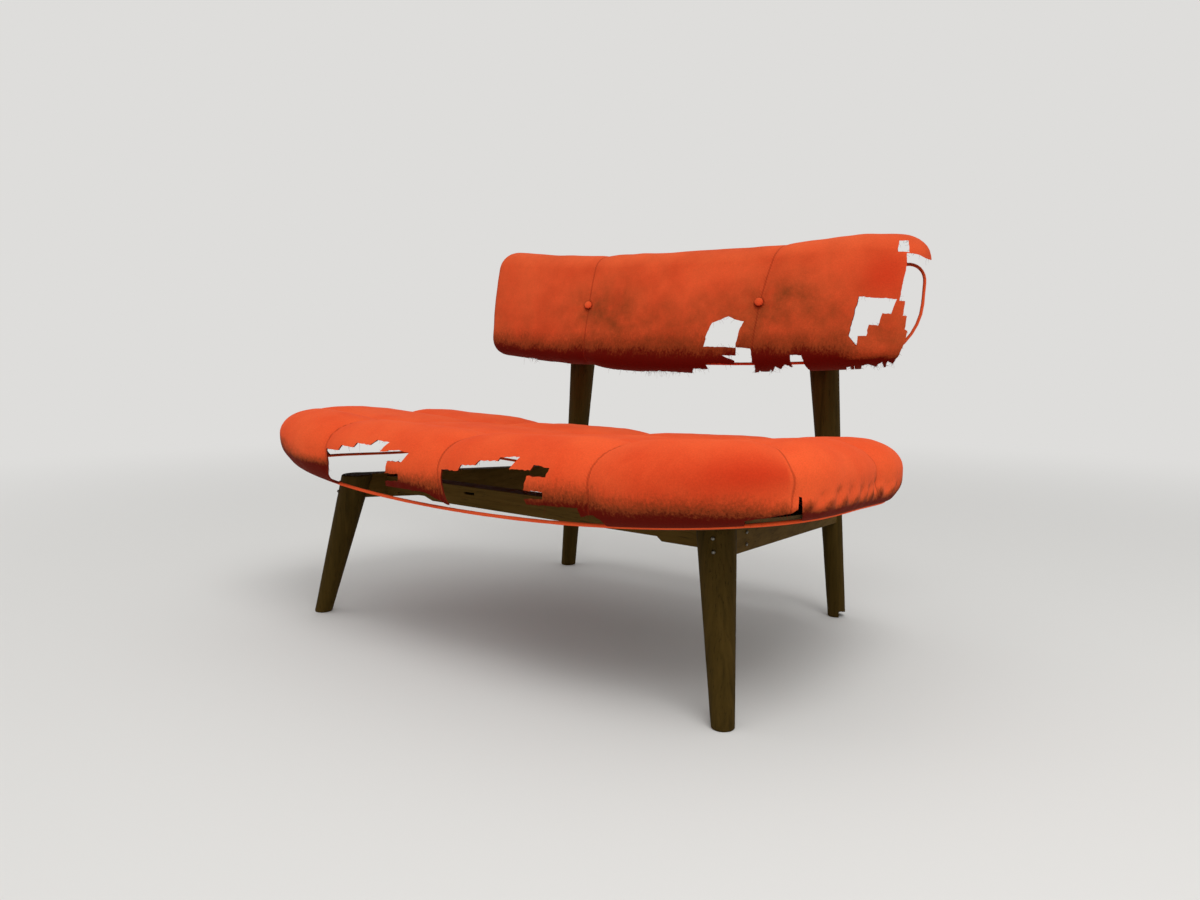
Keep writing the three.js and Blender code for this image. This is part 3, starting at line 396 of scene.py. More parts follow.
@dataclass(frozen=True)
class BrokenPlywood:
    """Birch plywood, rotary-cut veneers glued crosswise, snapped along a ragged line."""

    name: str
    through: Triple  # direction across the veneers
    pale: str = "#5c4522"
    face: str = "#4a3718"
    core: str = "#3c2b10"
    glue: str = "#241806"
    veneer_mm: float = 2.8
    fibre_mm: float = 3.0  # the real fibres are finer; drawn this coarse so that they show
    splinters_per_m: float = 160.0
    stretch: float = 30.0

    def material(self) -> Material:
        """Build the plywood: a dusty face with long fibres, and stripes of veneer where it has snapped.

        Returns:
            The material.
        """
        material, tree, place = new_material(self.name)
        layers = calc(tree, "MULTIPLY", dot(tree, place, self.through), 1000 / self.veneer_mm)
        splinter = noise(tree, place, self.splinters_per_m, 4.0, 0.7)
        stripes = calc(tree, "MULTIPLY_ADD", splinter, 0.5, calc(tree, "PINGPONG", layers, 1.0))
        snapped = ramp(tree, stripes, ((0.15, self.glue), (0.35, self.core), (1.0, self.face)))
        along = stretched(tree, place, (1 / self.stretch, 1.0, 1.0))
        fibre = noise(tree, along, 1000 / self.fibre_mm, 5.0, 0.65, 0.4)
        flat = ramp(tree, fibre, ((0.3, self.core), (0.52, self.face), (0.75, self.pale)))
        normal = node(tree, "ShaderNodeNewGeometry").outputs["Normal"]
        facing = calc(tree, "ABSOLUTE", dot(tree, normal, self.through))
        surface(tree, {
            "Base Color": blend(tree, span(tree, facing, (0.7, 0.88)), snapped, flat), "Roughness": 0.85,
            "IOR": 1.48, "Specular IOR Level": 0.1, "Normal": bumped(tree, splinter, 0.4, 0.001)})
        return material


@dataclass(frozen=True)
class ZincedSteel:
    """Steel screw heads, cold-formed and zinc-plated, dulled and freckled with rust."""

    name: str = "steel_zinc_plated"
    zinc: str = "#7f7c75"
    rust: str = "#4c3826"
    freckles_per_m: float = 420.0

    def material(self) -> Material:
        """Build the plated steel: a soft metal gloss with brown freckles.

        Returns:
            The material.
        """
        material, tree, place = new_material(self.name)
        freckle = noise(tree, place, self.freckles_per_m, 3.0)
        colour = ramp(tree, freckle, ((0.3, self.rust), (0.46, self.zinc)))
        surface(tree, {"Base Color": colour, "Metallic": 1.0, "Roughness": 0.42})
        return material


@dataclass(frozen=True)
class PaleFloor:
    """A matt painted studio floor that runs on into the backdrop."""

    name: str = "painted_board_matt"
    paint: str = "#e4e3e0"
    backdrop: str = "#dedddb"
    near: float = 1.1
    far: float = 3.6

    def material(self) -> Material:
        """Build the floor paint: pale and matt, keeping the chair's shadow and losing the horizon.

        Returns:
            The material.
        """
        material, tree, place = new_material(self.name)
        away = node(tree, "ShaderNodeVectorMath", {"operation": "LENGTH"}, {0: place}).outputs["Value"]
        seen = calc(tree, "MULTIPLY", span(tree, away, (self.near, self.far)), direct_sight(tree))
        paint = node(tree, "ShaderNodeBsdfPrincipled", None, {
            "Base Color": srgb(self.paint), "Roughness": 0.75, "Specular IOR Level": 0.2})
        backdrop = node(tree, "ShaderNodeEmission", None, {"Color": srgb(self.backdrop), "Strength": 1.0})
        mixed = node(tree, "ShaderNodeMixShader", None, {
            0: seen, 1: paint.outputs[0], 2: backdrop.outputs[0]})
        node(tree, "ShaderNodeOutputMaterial", None, {"Surface": mixed.outputs[0]})
        return material


def direct_sight(tree: Tree) -> Socket:
    """Tell rays that see the backdrop, straight or in a reflection, from rays that carry light.

    Args:
        tree: The node tree.

    Returns:
        1 for a ray that sees the backdrop.
    """
    path = node(tree, "ShaderNodeLightPath")
    mirror = calc(tree, "MAXIMUM", path.outputs["Is Glossy Ray"], path.outputs["Is Transmission Ray"])
    return calc(tree, "MAXIMUM", path.outputs["Is Camera Ray"], mirror)


def in_frame(points: np.ndarray) -> np.ndarray:
    """Move points in millimetres, measured from midway between the feet, into the frame in metres."""
    return (np.asarray(points, float) + (0.0, FRAME_SHIFT_Y, 0.0)) * MM


def from_frame(points: np.ndarray) -> np.ndarray:
    """Turn points of the frame, in metres, into millimetres from midway between the feet."""
    return points / MM - (0.0, FRAME_SHIFT_Y, 0.0)


def mesh_piece(name: str, points: np.ndarray, faces: Sequence[Sequence[int]],
               materials: Sequence[Material], smooth: bool = True) -> Piece:
    """Make a mesh object from points in millimetres.

    Args:
        name: The piece's name.
        points: Points in millimetres.
        faces: Corner numbers of each face.
        materials: The materials of its slots.
        smooth: Whether its faces are shaded smooth.

    Returns:
        The object, linked to the scene.
    """
    mesh = bpy.data.meshes.new(name)
    mesh.from_pydata(in_frame(points).tolist(), [], [list(map(int, f)) for f in faces])
    for material in materials:
        mesh.materials.append(material)
    mesh.polygons.foreach_set("use_smooth", [smooth] * len(mesh.polygons))
    mesh.update()
    piece = bpy.data.objects.new(name, mesh)
    bpy.context.scene.collection.objects.link(piece)
    return piece


def join_frame(piece: Piece, slot: str, *nodes: str) -> None:
    """Fix a piece to the chair and let it stand for CAD nodes, which are hidden.

    Args:
        piece: The piece.
        slot: Its material slot; not used.
        nodes: The CAD nodes that it replaces.
    """
    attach(piece, "root")
    if nodes:
        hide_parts(*nodes)
    log.info("%s: %d faces", piece.name, len(piece.data.polygons))


def ring_faces(rings: int, sides: int) -> list[list[int]]:
    """Join rings of points by quads and close both ends.

    Args:
        rings: How many rings there are.
        sides: Points in each ring.

    Returns:
        Corner numbers of the faces, with the first and the last ring's own faces at the end.
    """
    ring = list(range(sides))
    ring_starts = range(0, (rings - 1) * sides, sides)
    faces = [[i + k, i + (k + 1) % sides, i + sides + (k + 1) % sides, i + sides + k]
             for i in ring_starts for k in ring]
    return [*faces, ring[::-1], [(rings - 1) * sides + k for k in ring]]


def mend_faces(piece: Piece, triangles: bool = False) -> None:
    """Clean up a closed piece and turn its faces outwards.

    Args:
        piece: The piece.
        triangles: Whether faces are split into triangles, instead of merging points that coincide.
    """
    work = bmesh.new()
    work.from_mesh(piece.data)
    if triangles:
        bmesh.ops.triangulate(work, faces=list(work.faces))
    else:
        bmesh.ops.remove_doubles(work, verts=list(work.verts), dist=1e-6)
    bmesh.ops.recalc_face_normals(work, faces=list(work.faces))
    work.to_mesh(piece.data)
    work.free()


def surface_normals(points: np.ndarray, quads: np.ndarray) -> np.ndarray:
    """Average the normals of the quads round each point.

    Args:
        points: The points.
        quads: Four corner numbers a row.

    Returns:
        A unit normal for each point.
    """
    a, b, c, d = (points[quads[:, i]] for i in range(4))
    square = np.cross(c - a, d - b)
    normals = np.zeros_like(points)
    for i in range(4):
        np.add.at(normals, quads[:, i], square)
    return normals / np.maximum(np.linalg.norm(normals, axis=1, keepdims=True), 1e-12)


def smooth_step(value: np.ndarray, low: float, high: float) -> np.ndarray:
    """Rise smoothly from 0 at low to 1 at high."""
    share = np.clip((value - low) / (high - low), 0.0, 1.0)
    return share * share * (3 - 2 * share)


def pillow(distance: np.ndarray, width: float) -> np.ndarray:
    """Give the height of padding beside a seam: 0 in the seam, full at one width from it."""
    share = np.clip(distance / width, 0.0, 1.0)
    return (1 - (1 - share) ** 2.2) ** 0.75


def bell(u: np.ndarray, v: np.ndarray, middle: Pair, reach: Pair) -> np.ndarray:
    """Give a soft spot: 1 at its middle, fading over its reach each way."""
    return np.exp(-((u - middle[0]) / reach[0]) ** 2 - ((v - middle[1]) / reach[1]) ** 2)


def ripple(points: np.ndarray, pitch: float, seed: int, count: int = 9) -> np.ndarray:
    """Add up plane waves of random direction, as slack cloth shows.

    Args:
        points: Points in millimetres.
        pitch: Middle wavelength in millimetres.
        seed: Number that fixes the waves.
        count: How many waves are added.

    Returns:
        A value for each point, about -1 to 1.
    """
    random = np.random.default_rng(seed)
    total = np.zeros(len(points))
    for _ in range(count):
        way = random.normal(size=3)
        way /= np.linalg.norm(way)
        wave = pitch * random.uniform(0.6, 1.7)
        total += np.sin(points @ way * (2 * math.pi / wave) + random.uniform(0, 2 * math.pi))
    return total / math.sqrt(count)


def wrinkled(points: np.ndarray, waves: Waves) -> np.ndarray:
    """Add up ripples, each given by its depth, pitch and seed."""
    return sum(depth * ripple(points, pitch, seed) for depth, pitch, seed in waves)


def ragged(outline: Outline, step: float, depth: float, seed: int) -> list[Pair]:
    """Break the straight edges of a tear into short uneven runs, as threads part.

    Args:
        outline: The tear's corners.
        step: Length of the runs.
        depth: Largest movement of a point.
        seed: Number that fixes the unevenness.

    Returns:
        The outline with more points.
    """
    random = np.random.default_rng(seed)
    result: list[Pair] = []
    for (x0, y0), (x1, y1) in zip(outline, [*outline[1:], outline[0]]):
        length = math.hypot(x1 - x0, y1 - y0)
        count = max(1, min(40, round(length / step)))
        for i in range(count):
            share = i / count
            push = random.uniform(-depth, depth) if i else 0.0
            result.append((x0 + (x1 - x0) * share - (y1 - y0) / length * push,
                           y0 + (y1 - y0) * share + (x1 - x0) / length * push))
    return result


@dataclass(frozen=True)
class Tear:
    """A hole torn through a wall: its outline seen along an axis, and how far it goes."""

    outline: Outline
    start: float
    end: float
    axis: Axis = Axis.Y
    step: float = 5.0
    depth: float = 0.9
    seen_at: float | None = None  # y of the outline where the cut runs on along the line of sight

    def tool(self, number: int, edge_slot: int) -> Piece:
        """Make the prism that takes the cloth away.

        Args:
            number: Number of the tear, which also fixes its unevenness.
            edge_slot: Material slot of the torn edge.

        Returns:
            The prism as an object.
        """
        outline = ragged(self.outline, self.step, self.depth, TEAR_SEED + number)
        count = len(outline)
        ends = (self.start, self.end)
        if self.seen_at is not None:
            flat = np.array([(u, self.seen_at, v) for u, v in outline])
            reach = [(depth - VIEWER[1]) / (self.seen_at - VIEWER[1]) for depth in ends]
            rows = [(VIEWER + (flat - VIEWER) * share).tolist() for share in reach]
        elif self.axis is Axis.Y:
            rows = [[(u, depth, v) for u, v in outline] for depth in ends]
        else:
            rows = [[(depth, u, v) for u, v in outline] for depth in ends]
        faces = [list(range(count)), list(range(2 * count - 1, count - 1, -1))]
        faces += [[(i + 1) % count, i, count + i, count + (i + 1) % count] for i in range(count)]
        piece = mesh_piece(f"tear_{number}", np.array(rows[0] + rows[1]), faces, [], False)
        mend_faces(piece, triangles=True)
        piece.data.polygons.foreach_set("material_index", [edge_slot] * len(piece.data.polygons))
        return piece


def take_away(piece: Piece, tools: Sequence[Piece]) -> None:
    """Cut tools out of a closed piece, keep its largest part and delete the tools.

    Args:
        piece: The piece that is cut.
        tools: Closed meshes to take away.
    """
    for tool in tools:
        cut = piece.modifiers.new("tear", "BOOLEAN")
        cut.operation = "DIFFERENCE"
        cut.solver = "MANIFOLD"
        cut.object = tool
    graph = bpy.context.evaluated_depsgraph_get()
    mesh = bpy.data.meshes.new_from_object(piece.evaluated_get(graph))
    piece.modifiers.clear()
    piece.data = mesh
    for tool in tools:
        bpy.data.objects.remove(tool)
    keep_largest(mesh)


def keep_largest(mesh: bpy.types.Mesh) -> None:
    """Delete all but the largest connected part of a mesh.

    Args:
        mesh: The mesh that is changed.
    """
    work = bmesh.new()
    work.from_mesh(mesh)
    seen: set[int] = set()
    best: list[bmesh.types.BMVert] = []
    for start in work.verts:
        if start.index in seen:
            continue
        part, queue = [], [start]
        seen.add(start.index)
        while queue:
            vert = queue.pop()
            part.append(vert)
            for edge in vert.link_edges:
                other = edge.other_vert(vert)
                if other.index not in seen:
                    seen.add(other.index)
                    queue.append(other)
        if len(part) > len(best):
            best = part
    keep = set(best)
    bmesh.ops.delete(work, geom=[v for v in work.verts if v not in keep], context="VERTS")
    work.to_mesh(mesh)
    work.free()


def face_net(edge: np.ndarray, columns: int, rows: int) -> np.ndarray:
    """Fill the space inside a cover's upper edge with an even net of points.

    Args:
        edge: Points round the edge from its front left corner, along the front first.
        columns: Steps along the front.
        rows: Steps along a side.

    Returns:
        Points by row, from the front, and column, from the left.
    """
    edge = np.concatenate([edge, edge[:1]])
    front, right = edge[:columns + 1], edge[columns:columns + rows + 1]
    rear, left = edge[columns + rows:2 * columns + rows + 1][::-1], edge[2 * columns + rows:][::-1]
    v = np.linspace(0, 1, rows + 1)[:, None, None]
    u = np.linspace(0, 1, columns + 1)[None, :, None]
    sides = (1 - u) * left[:, None] + u * right[:, None]
    ends = (1 - v) * front[None] + v * rear[None]
    corners = ((1 - u) * (1 - v) * front[0] + u * (1 - v) * front[-1]
               + (1 - u) * v * rear[0] + u * v * rear[-1])
    return sides + ends - corners


@dataclass
class CoverNet:
    """The net of a cover: walls from its open rim up, and a face that fills the top."""

    columns: int
    rows: int
    points: np.ndarray
    quads: np.ndarray

    @classmethod
    def build(cls, walls: np.ndarray, face: np.ndarray) -> "CoverNet":
        """Join wall loops and a face net into one sheet.

        Args:
            walls: Points by wall row and station; the last row is the face's edge.
            face: Points by row and column, edges included.

        Returns:
            The net.
        """
        rows, columns = face.shape[0] - 1, face.shape[1] - 1
        wall_rows, around = walls.shape[0] - 1, walls.shape[1]
        top = wall_rows * around
        number = np.full((rows + 1, columns + 1), -1)
        number[0, :] = top + np.arange(columns + 1)
        number[:, columns] = top + columns + np.arange(rows + 1)
        number[rows, ::-1] = top + columns + rows + np.arange(columns + 1)
        number[::-1, 0] = top + (2 * columns + rows + np.arange(rows + 1)) % around
        inside = top + around + np.arange((rows - 1) * (columns - 1))
        number[1:-1, 1:-1] = inside.reshape(rows - 1, columns - 1)
        points = np.concatenate([walls.reshape(-1, 3), face[1:-1, 1:-1].reshape(-1, 3)])
        i = np.arange(wall_rows)[:, None] * around
        j = np.arange(around)[None, :]
        k = (j + 1) % around
        wall = np.stack([i + j, i + k, i + around + k, i + around + j], -1).reshape(-1, 4)
        sheet = np.stack([number[:-1, :-1], number[:-1, 1:], number[1:, 1:], number[1:, :-1]], -1)
        return cls(columns, rows, points, np.concatenate([wall, sheet.reshape(-1, 4)]))

    def closed(self, thick: float) -> tuple[np.ndarray, list[list[int]], list[int]]:
        """Give the sheet a thickness, with the backing inside.

        Args:
            thick: Thickness in millimetres.

        Returns:
            Points, faces, and the material slot of each face: 0 outside, 1 inside and at the rim.
        """
        count = len(self.points)
        normals = surface_normals(self.points, self.quads)
        around = 2 * (self.columns + self.rows)
        inner = self.points - normals * thick
        rim = [[(j + 1) % around, j, count + j, count + (j + 1) % around] for j in range(around)]
        faces = self.quads.tolist() + (self.quads[:, ::-1] + count).tolist() + rim
        slots = [0] * len(self.quads) + [1] * (len(self.quads) + around)
        return np.concatenate([self.points, inner]), faces, slots


def stations(low: float, high: float, seams: Sequence[float], pitch: float) -> np.ndarray:
    """Space values evenly between seams, so that a row of the net lies in each seam.

    Args:
        low: First value.
        high: Last value.
        seams: Values that have to be hit.
        pitch: Wanted spacing.

    Returns:
        The values.
    """
    marks = [low, *[s for s in seams if low < s < high], high]
    runs = [np.linspace(a, b, max(1, round((b - a) / pitch)) + 1)[:-1] for a, b in zip(marks, marks[1:])]
    return np.concatenate([*runs, [high]])


def paint_all(piece: Piece, values: dict[str, np.ndarray | float]) -> None:
    """Store values on the points of a piece.

    Args:
        piece: The piece.
        values: Attribute name to one value, or to a value for each point.
    """
    for name, value in values.items():
        stored = piece.data.attributes.new(name, "FLOAT", "POINT")
        spread = np.broadcast_to(np.asarray(value, np.float32), len(piece.data.vertices))
        stored.data.foreach_set("value", np.ascontiguousarray(spread))


def paint(piece: Piece, points: np.ndarray, values: dict[str, np.ndarray]) -> None:
    """Store values of the uncut net on the points of a finished cover.

    Args:
        piece: The finished cover.
        points: Points of the uncut net, in millimetres.
        values: Attribute name to the net's values.
    """
    tree = KDTree(len(points))
    for i, point in enumerate(in_frame(points)):
        tree.insert(point, i)
    tree.balance()
    nearest = np.array([tree.find(v.co)[1] for v in piece.data.vertices])
    paint_all(piece, {name: value[nearest] for name, value in values.items()})


@dataclass(frozen=True)
class FrayedThreads:
    """Loose threads that hang out of the torn edges of a cover."""

    spacing: float = 11.0
    shortest: float = 1.5
    longest: float = 8.0
    length_power: float = 2.4  # most are short
    scatter: float = 0.4
    curl: float = 0.5
    thin: float = 0.22
    droop: float = 0.5
    sides: int = 3
    steps: int = 5
    edge_mm: float = 2.6  # width of the torn edges that they hang from

    def build(self, name: str, cover: Piece, material: Material, seed: int) -> None:
        """Grow the threads of one cover, and give its torn edges the backing's slot.

        Args:
            name: Name of the threads.
            cover: The torn cover.
            material: The threads' material.
            seed: Number that fixes the threads.
        """
        random = np.random.default_rng(seed)
        mesh = cover.data
        points: list[np.ndarray] = []
        faces: list[list[int]] = []
        for polygon in mesh.polygons:
            if polygon.material_index != EDGE_SLOT:
                continue
            corners = from_frame(np.array([mesh.vertices[i].co for i in polygon.vertices]))
            outward = np.array(polygon.normal)
            for _ in range(random.poisson(polygon.area / (self.edge_mm * self.spacing * MM * MM))):
                start = random.dirichlet(np.ones(len(corners))) @ corners
                self.thread(points, faces, start, outward + random.normal(size=3) * self.scatter, random)
            polygon.material_index = EDGE_SLOT - 1
        piece = mesh_piece(name, np.array(points), faces, [material])
        join_frame(piece, "velvet")

    def thread(self, points: list[np.ndarray], faces: list[list[int]], start: np.ndarray, way: np.ndarray,
               random: np.random.Generator) -> None:
        """Add one curling thread.

        Args:
            points: The points so far.
            faces: The faces so far.
            start: Where it leaves the cloth.
            way: The direction that it leaves in.
            random: The source of its unevenness.
        """
        way = way / np.linalg.norm(way)
        length = self.shortest + random.uniform(0, 1) ** self.length_power * self.longest
        curl = random.normal(size=3) * self.curl - (0, 0, self.droop)
        side = np.cross(way, random.normal(size=3))
        side /= np.linalg.norm(side)
        rise = np.cross(way, side)
        first = len(points)
        for i in range(self.steps):
            share = i / (self.steps - 1)
            middle = start + way * (length * share - 0.5) + curl * length * share * share * 0.6
            for k in range(self.sides):
                turn = 2 * math.pi * k / self.sides
                outward = side * math.cos(turn) + rise * math.sin(turn)
                points.append(middle + outward * self.thin * (1 - 0.5 * share))
        faces += [[first + corner for corner in face] for face in ring_faces(self.steps, self.sides)]


def torn_cover(name: str, net: CoverNet, values: dict[str, np.ndarray], thick: float, tears: Sequence[Tear],
               velvet: Material, lining: Material, first_tear: int, seed: int) -> None:
    """Turn a net into cloth, tear it open, colour it and let its threads hang.

    Args:
        name: What it covers.
        net: The net of its outside.
        values: The values that the velvet is coloured by.
        thick: Thickness of the cloth.
        tears: Its tears.
        velvet: The outside.
        lining: The inside, the torn edges and the threads.
        first_tear: Number of the first tear.
        seed: Number that fixes the threads.
    """
    points, faces, slots = net.closed(thick)
    cover = mesh_piece(f"{name}_cover_velvet", points, faces, [velvet, lining])
    cover.data.polygons.foreach_set("material_index", slots)
    take_away(cover, [tear.tool(first_tear + i, EDGE_SLOT) for i, tear in enumerate(tears)])
    cover.data.set_sharp_from_angle(angle=CLOTH_CREASE)
    paint(cover, points, {key: np.concatenate([value, value]) for key, value in values.items()})
    join_frame(cover, "velvet", f"{name}_cover")
    FrayedThreads().build(f"{name}_frayed_threads", cover, lining, seed)


def powered(value: np.ndarray, power: float) -> np.ndarray:
    """Raise the size of a value to a power and keep its sign."""
    return np.sign(value) * np.abs(value) ** power


@dataclass
class SeatCover:
    """The torn seat cover with its piping: quilted, bulging over a wide raked loop."""

    half_width: float = 531.0
    front_flare: float = 82.0
    side_power: float = 3.94
    end_power: float = 3.87
    middle_y: float = -11.6
    front_depth: float = 341.6
    rear_depth: float = 210.0
    loop_z: float = 240.0
    rake: float = 0.042
    dish: float = 34.3
    top_dish: float = 22.5
    dish_span: float = 518.0
    side_bulge: float = 24.0
    front_bulge: float = 13.0
    widest_height: float = 54.0
    height: float = 112.0
    top_rake: float = 0.037
    top_inset: float = 53.0
    rim_room: float = 3.1
    thick: float = 2.6
    piping_d: float = 5.6
    column_seams: tuple[float, ...] = (-297.0, 0.0, 297.0)
    row_seams: tuple[float, ...] = (-230.0, -12.0)
    seam_shift: float = 14.0
    seam_skew: float = 0.08
    straight_ends: Pair = (340.0, 480.0)  # x where shift and skew of the seams die out
    row_bends: Pair = (64.0, 25.0)  # how far the row seams run forward at the ends
    seam_depth: float = 11.0
    pad_width: float = 95.0
    pad_swell: float = 2.0
    loose_rise: Pair = (10.0, 36.0)  # heights between which the cloth leaves its rim
    rear_pull: float = 0.45  # how much more the padding has sunk along the rear
    rear_from: tuple[Pair, Pair] = ((0.0, 120.0), (-220.0, -60.0))  # y and x where that sets in
    tuft_depth: float = 4.0
    tuft_reach: float = 34.0
    tuft_rise: Pair = (80.0, 108.0)  # only where seams cross on top
    ends: Pair = (500.0, 560.0)  # x where the front turns into the ends
    gathers: float = 96.0
    gather_height: float = 24.0
    gather_reach: float = 13.0
    gather_depths: Pair = (0.6, 1.6)  # all round, and what the ends have more
    gather_sway: Waves = ((2.4, 160, 5),)
    gather_shade: float = 9.0  # how far up the painted shade reaches in their hollows
    wrinkles: Waves = ((0.8, 120, 3), (0.25, 32, 4))
    # unevenness of the painted shade's upper edge
    shade_line_waves: Waves = ((2.0, 90, 6),)
    shade_fades: Pair = (88.0, 44.0)  # the painted shade's soft edge, and how much crisper at the ends and the left
    crisp_left: Pair = (-20.0, 100.0)  # distance to the left where it gets crisper
    red_patch: Pair = (510.0, 66.0)  # x and height of the corner that kept its dye
    red_reach: Pair = (85.0, 27.0)
    red_share: float = 0.75
    worn: Pair = (0.1, 0.55)  # all over, and what the front wall has more; the front's more is wear and painted shade
    front_wear_and_shade: Pair = (300.0, 370.0)  # distance to the front where that sets in
    stitched_rise: float = 6.0
    shade_line: Outline = (  # where the painted shade along the front's lower edge ends: x and height
        (-570, 15), (-480, 24), (-400, 29), (-311, 32), (-141, 40), (-20, 27), (100, 30), (260, 27),
        (320, 20), (480, 14), (575, 9))
    net_pitch: float = 6.0
    lower_rows: int = 18
    upper_rows: int = 24
    tears: tuple[Tear, ...] = field(default_factory=lambda: (
        Tear(((-314, 236), (-311, 333), (-263, 334), (-256, 343), (-221, 342), (-216, 350), (-181, 348),
              (-171, 357), (-138, 355), (-151, 340), (-110, 345), (-80, 343), (-92, 328), (-127, 327),
              (-135, 306), (-100, 308), (-103, 296), (-137, 293), (-141, 285), (-47, 283), (-22, 274),
              (1, 266), (1, 236)), -FAR, -300),
        Tear(((-6, 236), (-2, 263), (0, 270), (-9, 298), (-6, 323), (37, 325), (42, 334), (73, 336),
              (80, 344), (115, 345), (118, 351), (155, 354), (151, 348), (143, 336), (184, 338),
              (188, 346), (218, 344), (214, 331), (179, 330), (173, 309), (209, 309), (207, 299),
              (172, 296), (174, 288), (217, 290), (263, 292), (266, 279), (288, 284), (298, 278),
              (302, 236)), -FAR, -300),
        Tear(((480.5, 270), (480.5, 287.8), (515, 296.3), (548, 305.8), (556.5, 312.3), (557, 328.2),
              (561, 327.4), (562.6, 304.3), (561.6, 297.9), (556, 270)),
             -FAR, -200, depth=0.4, seen_at=-300),
        Tear(((-206, 220), (-200, 328), (-152, 336), (-120, 330), (-62, 340), (0, 332), (70, 342),
              (122, 334), (180, 338), (240, 328), (240, 220)), -FAR, -400, Axis.X, step=9.0, depth=3.0),
        Tear(((-640, 220), (-640, 338), (-500, 336), (-402, 340), (-334, 330), (-288, 316), (-272, 296),
              (-276, 220)), 60, FAR, step=9.0, depth=3.0),
    ))

    def plan(self, angle: np.ndarray, grow: np.ndarray | float) -> np.ndarray:
        """Place points of the seat's outline.

        Args:
            angle: Angle of each point, in radians.
            grow: Distance outside the piping's line.

        Returns:
            x and y of each point.
        """
        sine, cosine = np.sin(angle), np.cos(angle)
        depth = np.where(sine < 0, self.front_depth, self.rear_depth) + grow
        half = self.half_width + grow - self.front_flare * sine
        return np.stack([half * powered(cosine, 2 / self.side_power),
                         self.middle_y + depth * powered(sine, 2 / self.end_power)], -1)

    def lift(self, plan: np.ndarray, height: np.ndarray | float) -> np.ndarray:
        """Raise plan points to a height above the raked and dished loop.

        Args:
            plan: x and y of each point.
            height: Height above the loop.

        Returns:
            The points in space.
        """
        x, y = plan[..., 0], plan[..., 1]
        share = height / self.height
        dish = self.dish + (self.top_dish - self.dish) * share
        z = self.loop_z + height - (self.rake + self.top_rake * share) * y + dish * (x / self.dish_span) ** 2
        return np.stack([x, y, z], -1)

    def angles(self) -> tuple[np.ndarray, int, int]:
        """Choose stations round the seat that hit every seam.

        Returns:
            The angles from the front left corner, and the counts of columns and rows.
        """
        corner = math.pi / 4
        fine = np.linspace(0, 1, 4001)
        front = -math.pi + corner + fine * (math.pi - 2 * corner)
        right = -corner + fine * 2 * corner
        rear = math.pi - corner - fine * (math.pi - 2 * corner)
        left = -math.pi + corner - fine * 2 * corner
        inset = -self.top_inset
        front_x, rear_x = self.plan(front, inset)[:, 0], self.plan(rear, inset)[:, 0]
        right_y, left_y = self.plan(right, inset)[:, 1], self.plan(left, inset)[:, 1]
        xs = stations(front_x[0], front_x[-1], self.column_seams, self.net_pitch)
        ys = stations(right_y[0], right_y[-1], self.row_seams, self.net_pitch)
        squeeze = np.interp(xs, [front_x[0], self.column_seams[0], self.column_seams[-1], front_x[-1]],
                            [rear_x[0], self.column_seams[0], self.column_seams[-1], rear_x[-1]])
        around = [np.interp(xs, front_x, front)[:-1], np.interp(ys, right_y, right)[:-1],
                  np.interp(squeeze, rear_x, rear)[::-1][:-1], np.interp(ys, left_y, left)[::-1][:-1]]
        return np.concatenate(around), len(xs) - 1, len(ys) - 1

    def net(self) -> CoverNet:
        """Build the smooth cover, before seams and wrinkles.

        Returns:
            The net of its outside.
        """
        angle, columns, rows = self.angles()
        bulge = self.side_bulge + self.front_bulge * np.sqrt(np.maximum(0.0, -np.sin(angle)))
        loops = []
        for turn in np.linspace(0, math.pi / 2, self.lower_rows + 1):
            grow = self.rim_room + (bulge - self.rim_room) * math.sin(turn)
            loops.append(self.lift(self.plan(angle, grow), self.widest_height * (1 - math.cos(turn))))
        for turn in np.linspace(0, math.pi / 2, self.upper_rows + 1)[1:]:
            grow = bulge - (bulge + self.top_inset) * (1 - math.cos(turn))
            rise = self.widest_height + (self.height - self.widest_height) * math.sin(turn)
            loops.append(self.lift(self.plan(angle, grow), rise))
        face = self.lift(face_net(self.plan(angle, -self.top_inset), columns, rows), self.height)
        return CoverNet.build(np.array(loops), face)

    def rise(self, points: np.ndarray) -> np.ndarray:
        """Measure how high points stand above the loop.

        Args:
            points: The points.

        Returns:
            The height of each.
        """
        x, y, z = points.T
        bow = (x / self.dish_span) ** 2
        slope = 1 - (self.top_rake * y + (self.dish - self.top_dish) * bow) / self.height
        return (z - self.loop_z + self.rake * y - self.dish * bow) / slope

    def seam_distances(self, points: np.ndarray) -> tuple[np.ndarray, np.ndarray]:
        """Measure how far points lie from the seams.

        Args:
            points: The points.

        Returns:
            The distance to the nearest column seam and to the nearest row seam, with a sign for the side.
        """
        x, y = points[:, 0], points[:, 1]
        pitch = self.column_seams[-1]
        askew = (self.seam_shift + self.seam_skew * y) * (1 - smooth_step(np.abs(x), *self.straight_ends))
        columns = pitch / math.pi * np.arcsin(np.clip(np.sin(math.pi * (x - askew) / pitch), -1, 1))
        bend = np.abs(x) / self.half_width
        front_seam = self.row_seams[0] - self.row_bends[0] * smooth_step(bend, 0.86, 1.05)
        rear_seam = self.row_seams[1] - self.row_bends[1] * smooth_step(bend, 0.72, 1.05)
        return columns, (y - front_seam) * (y - rear_seam) / (rear_seam - front_seam)

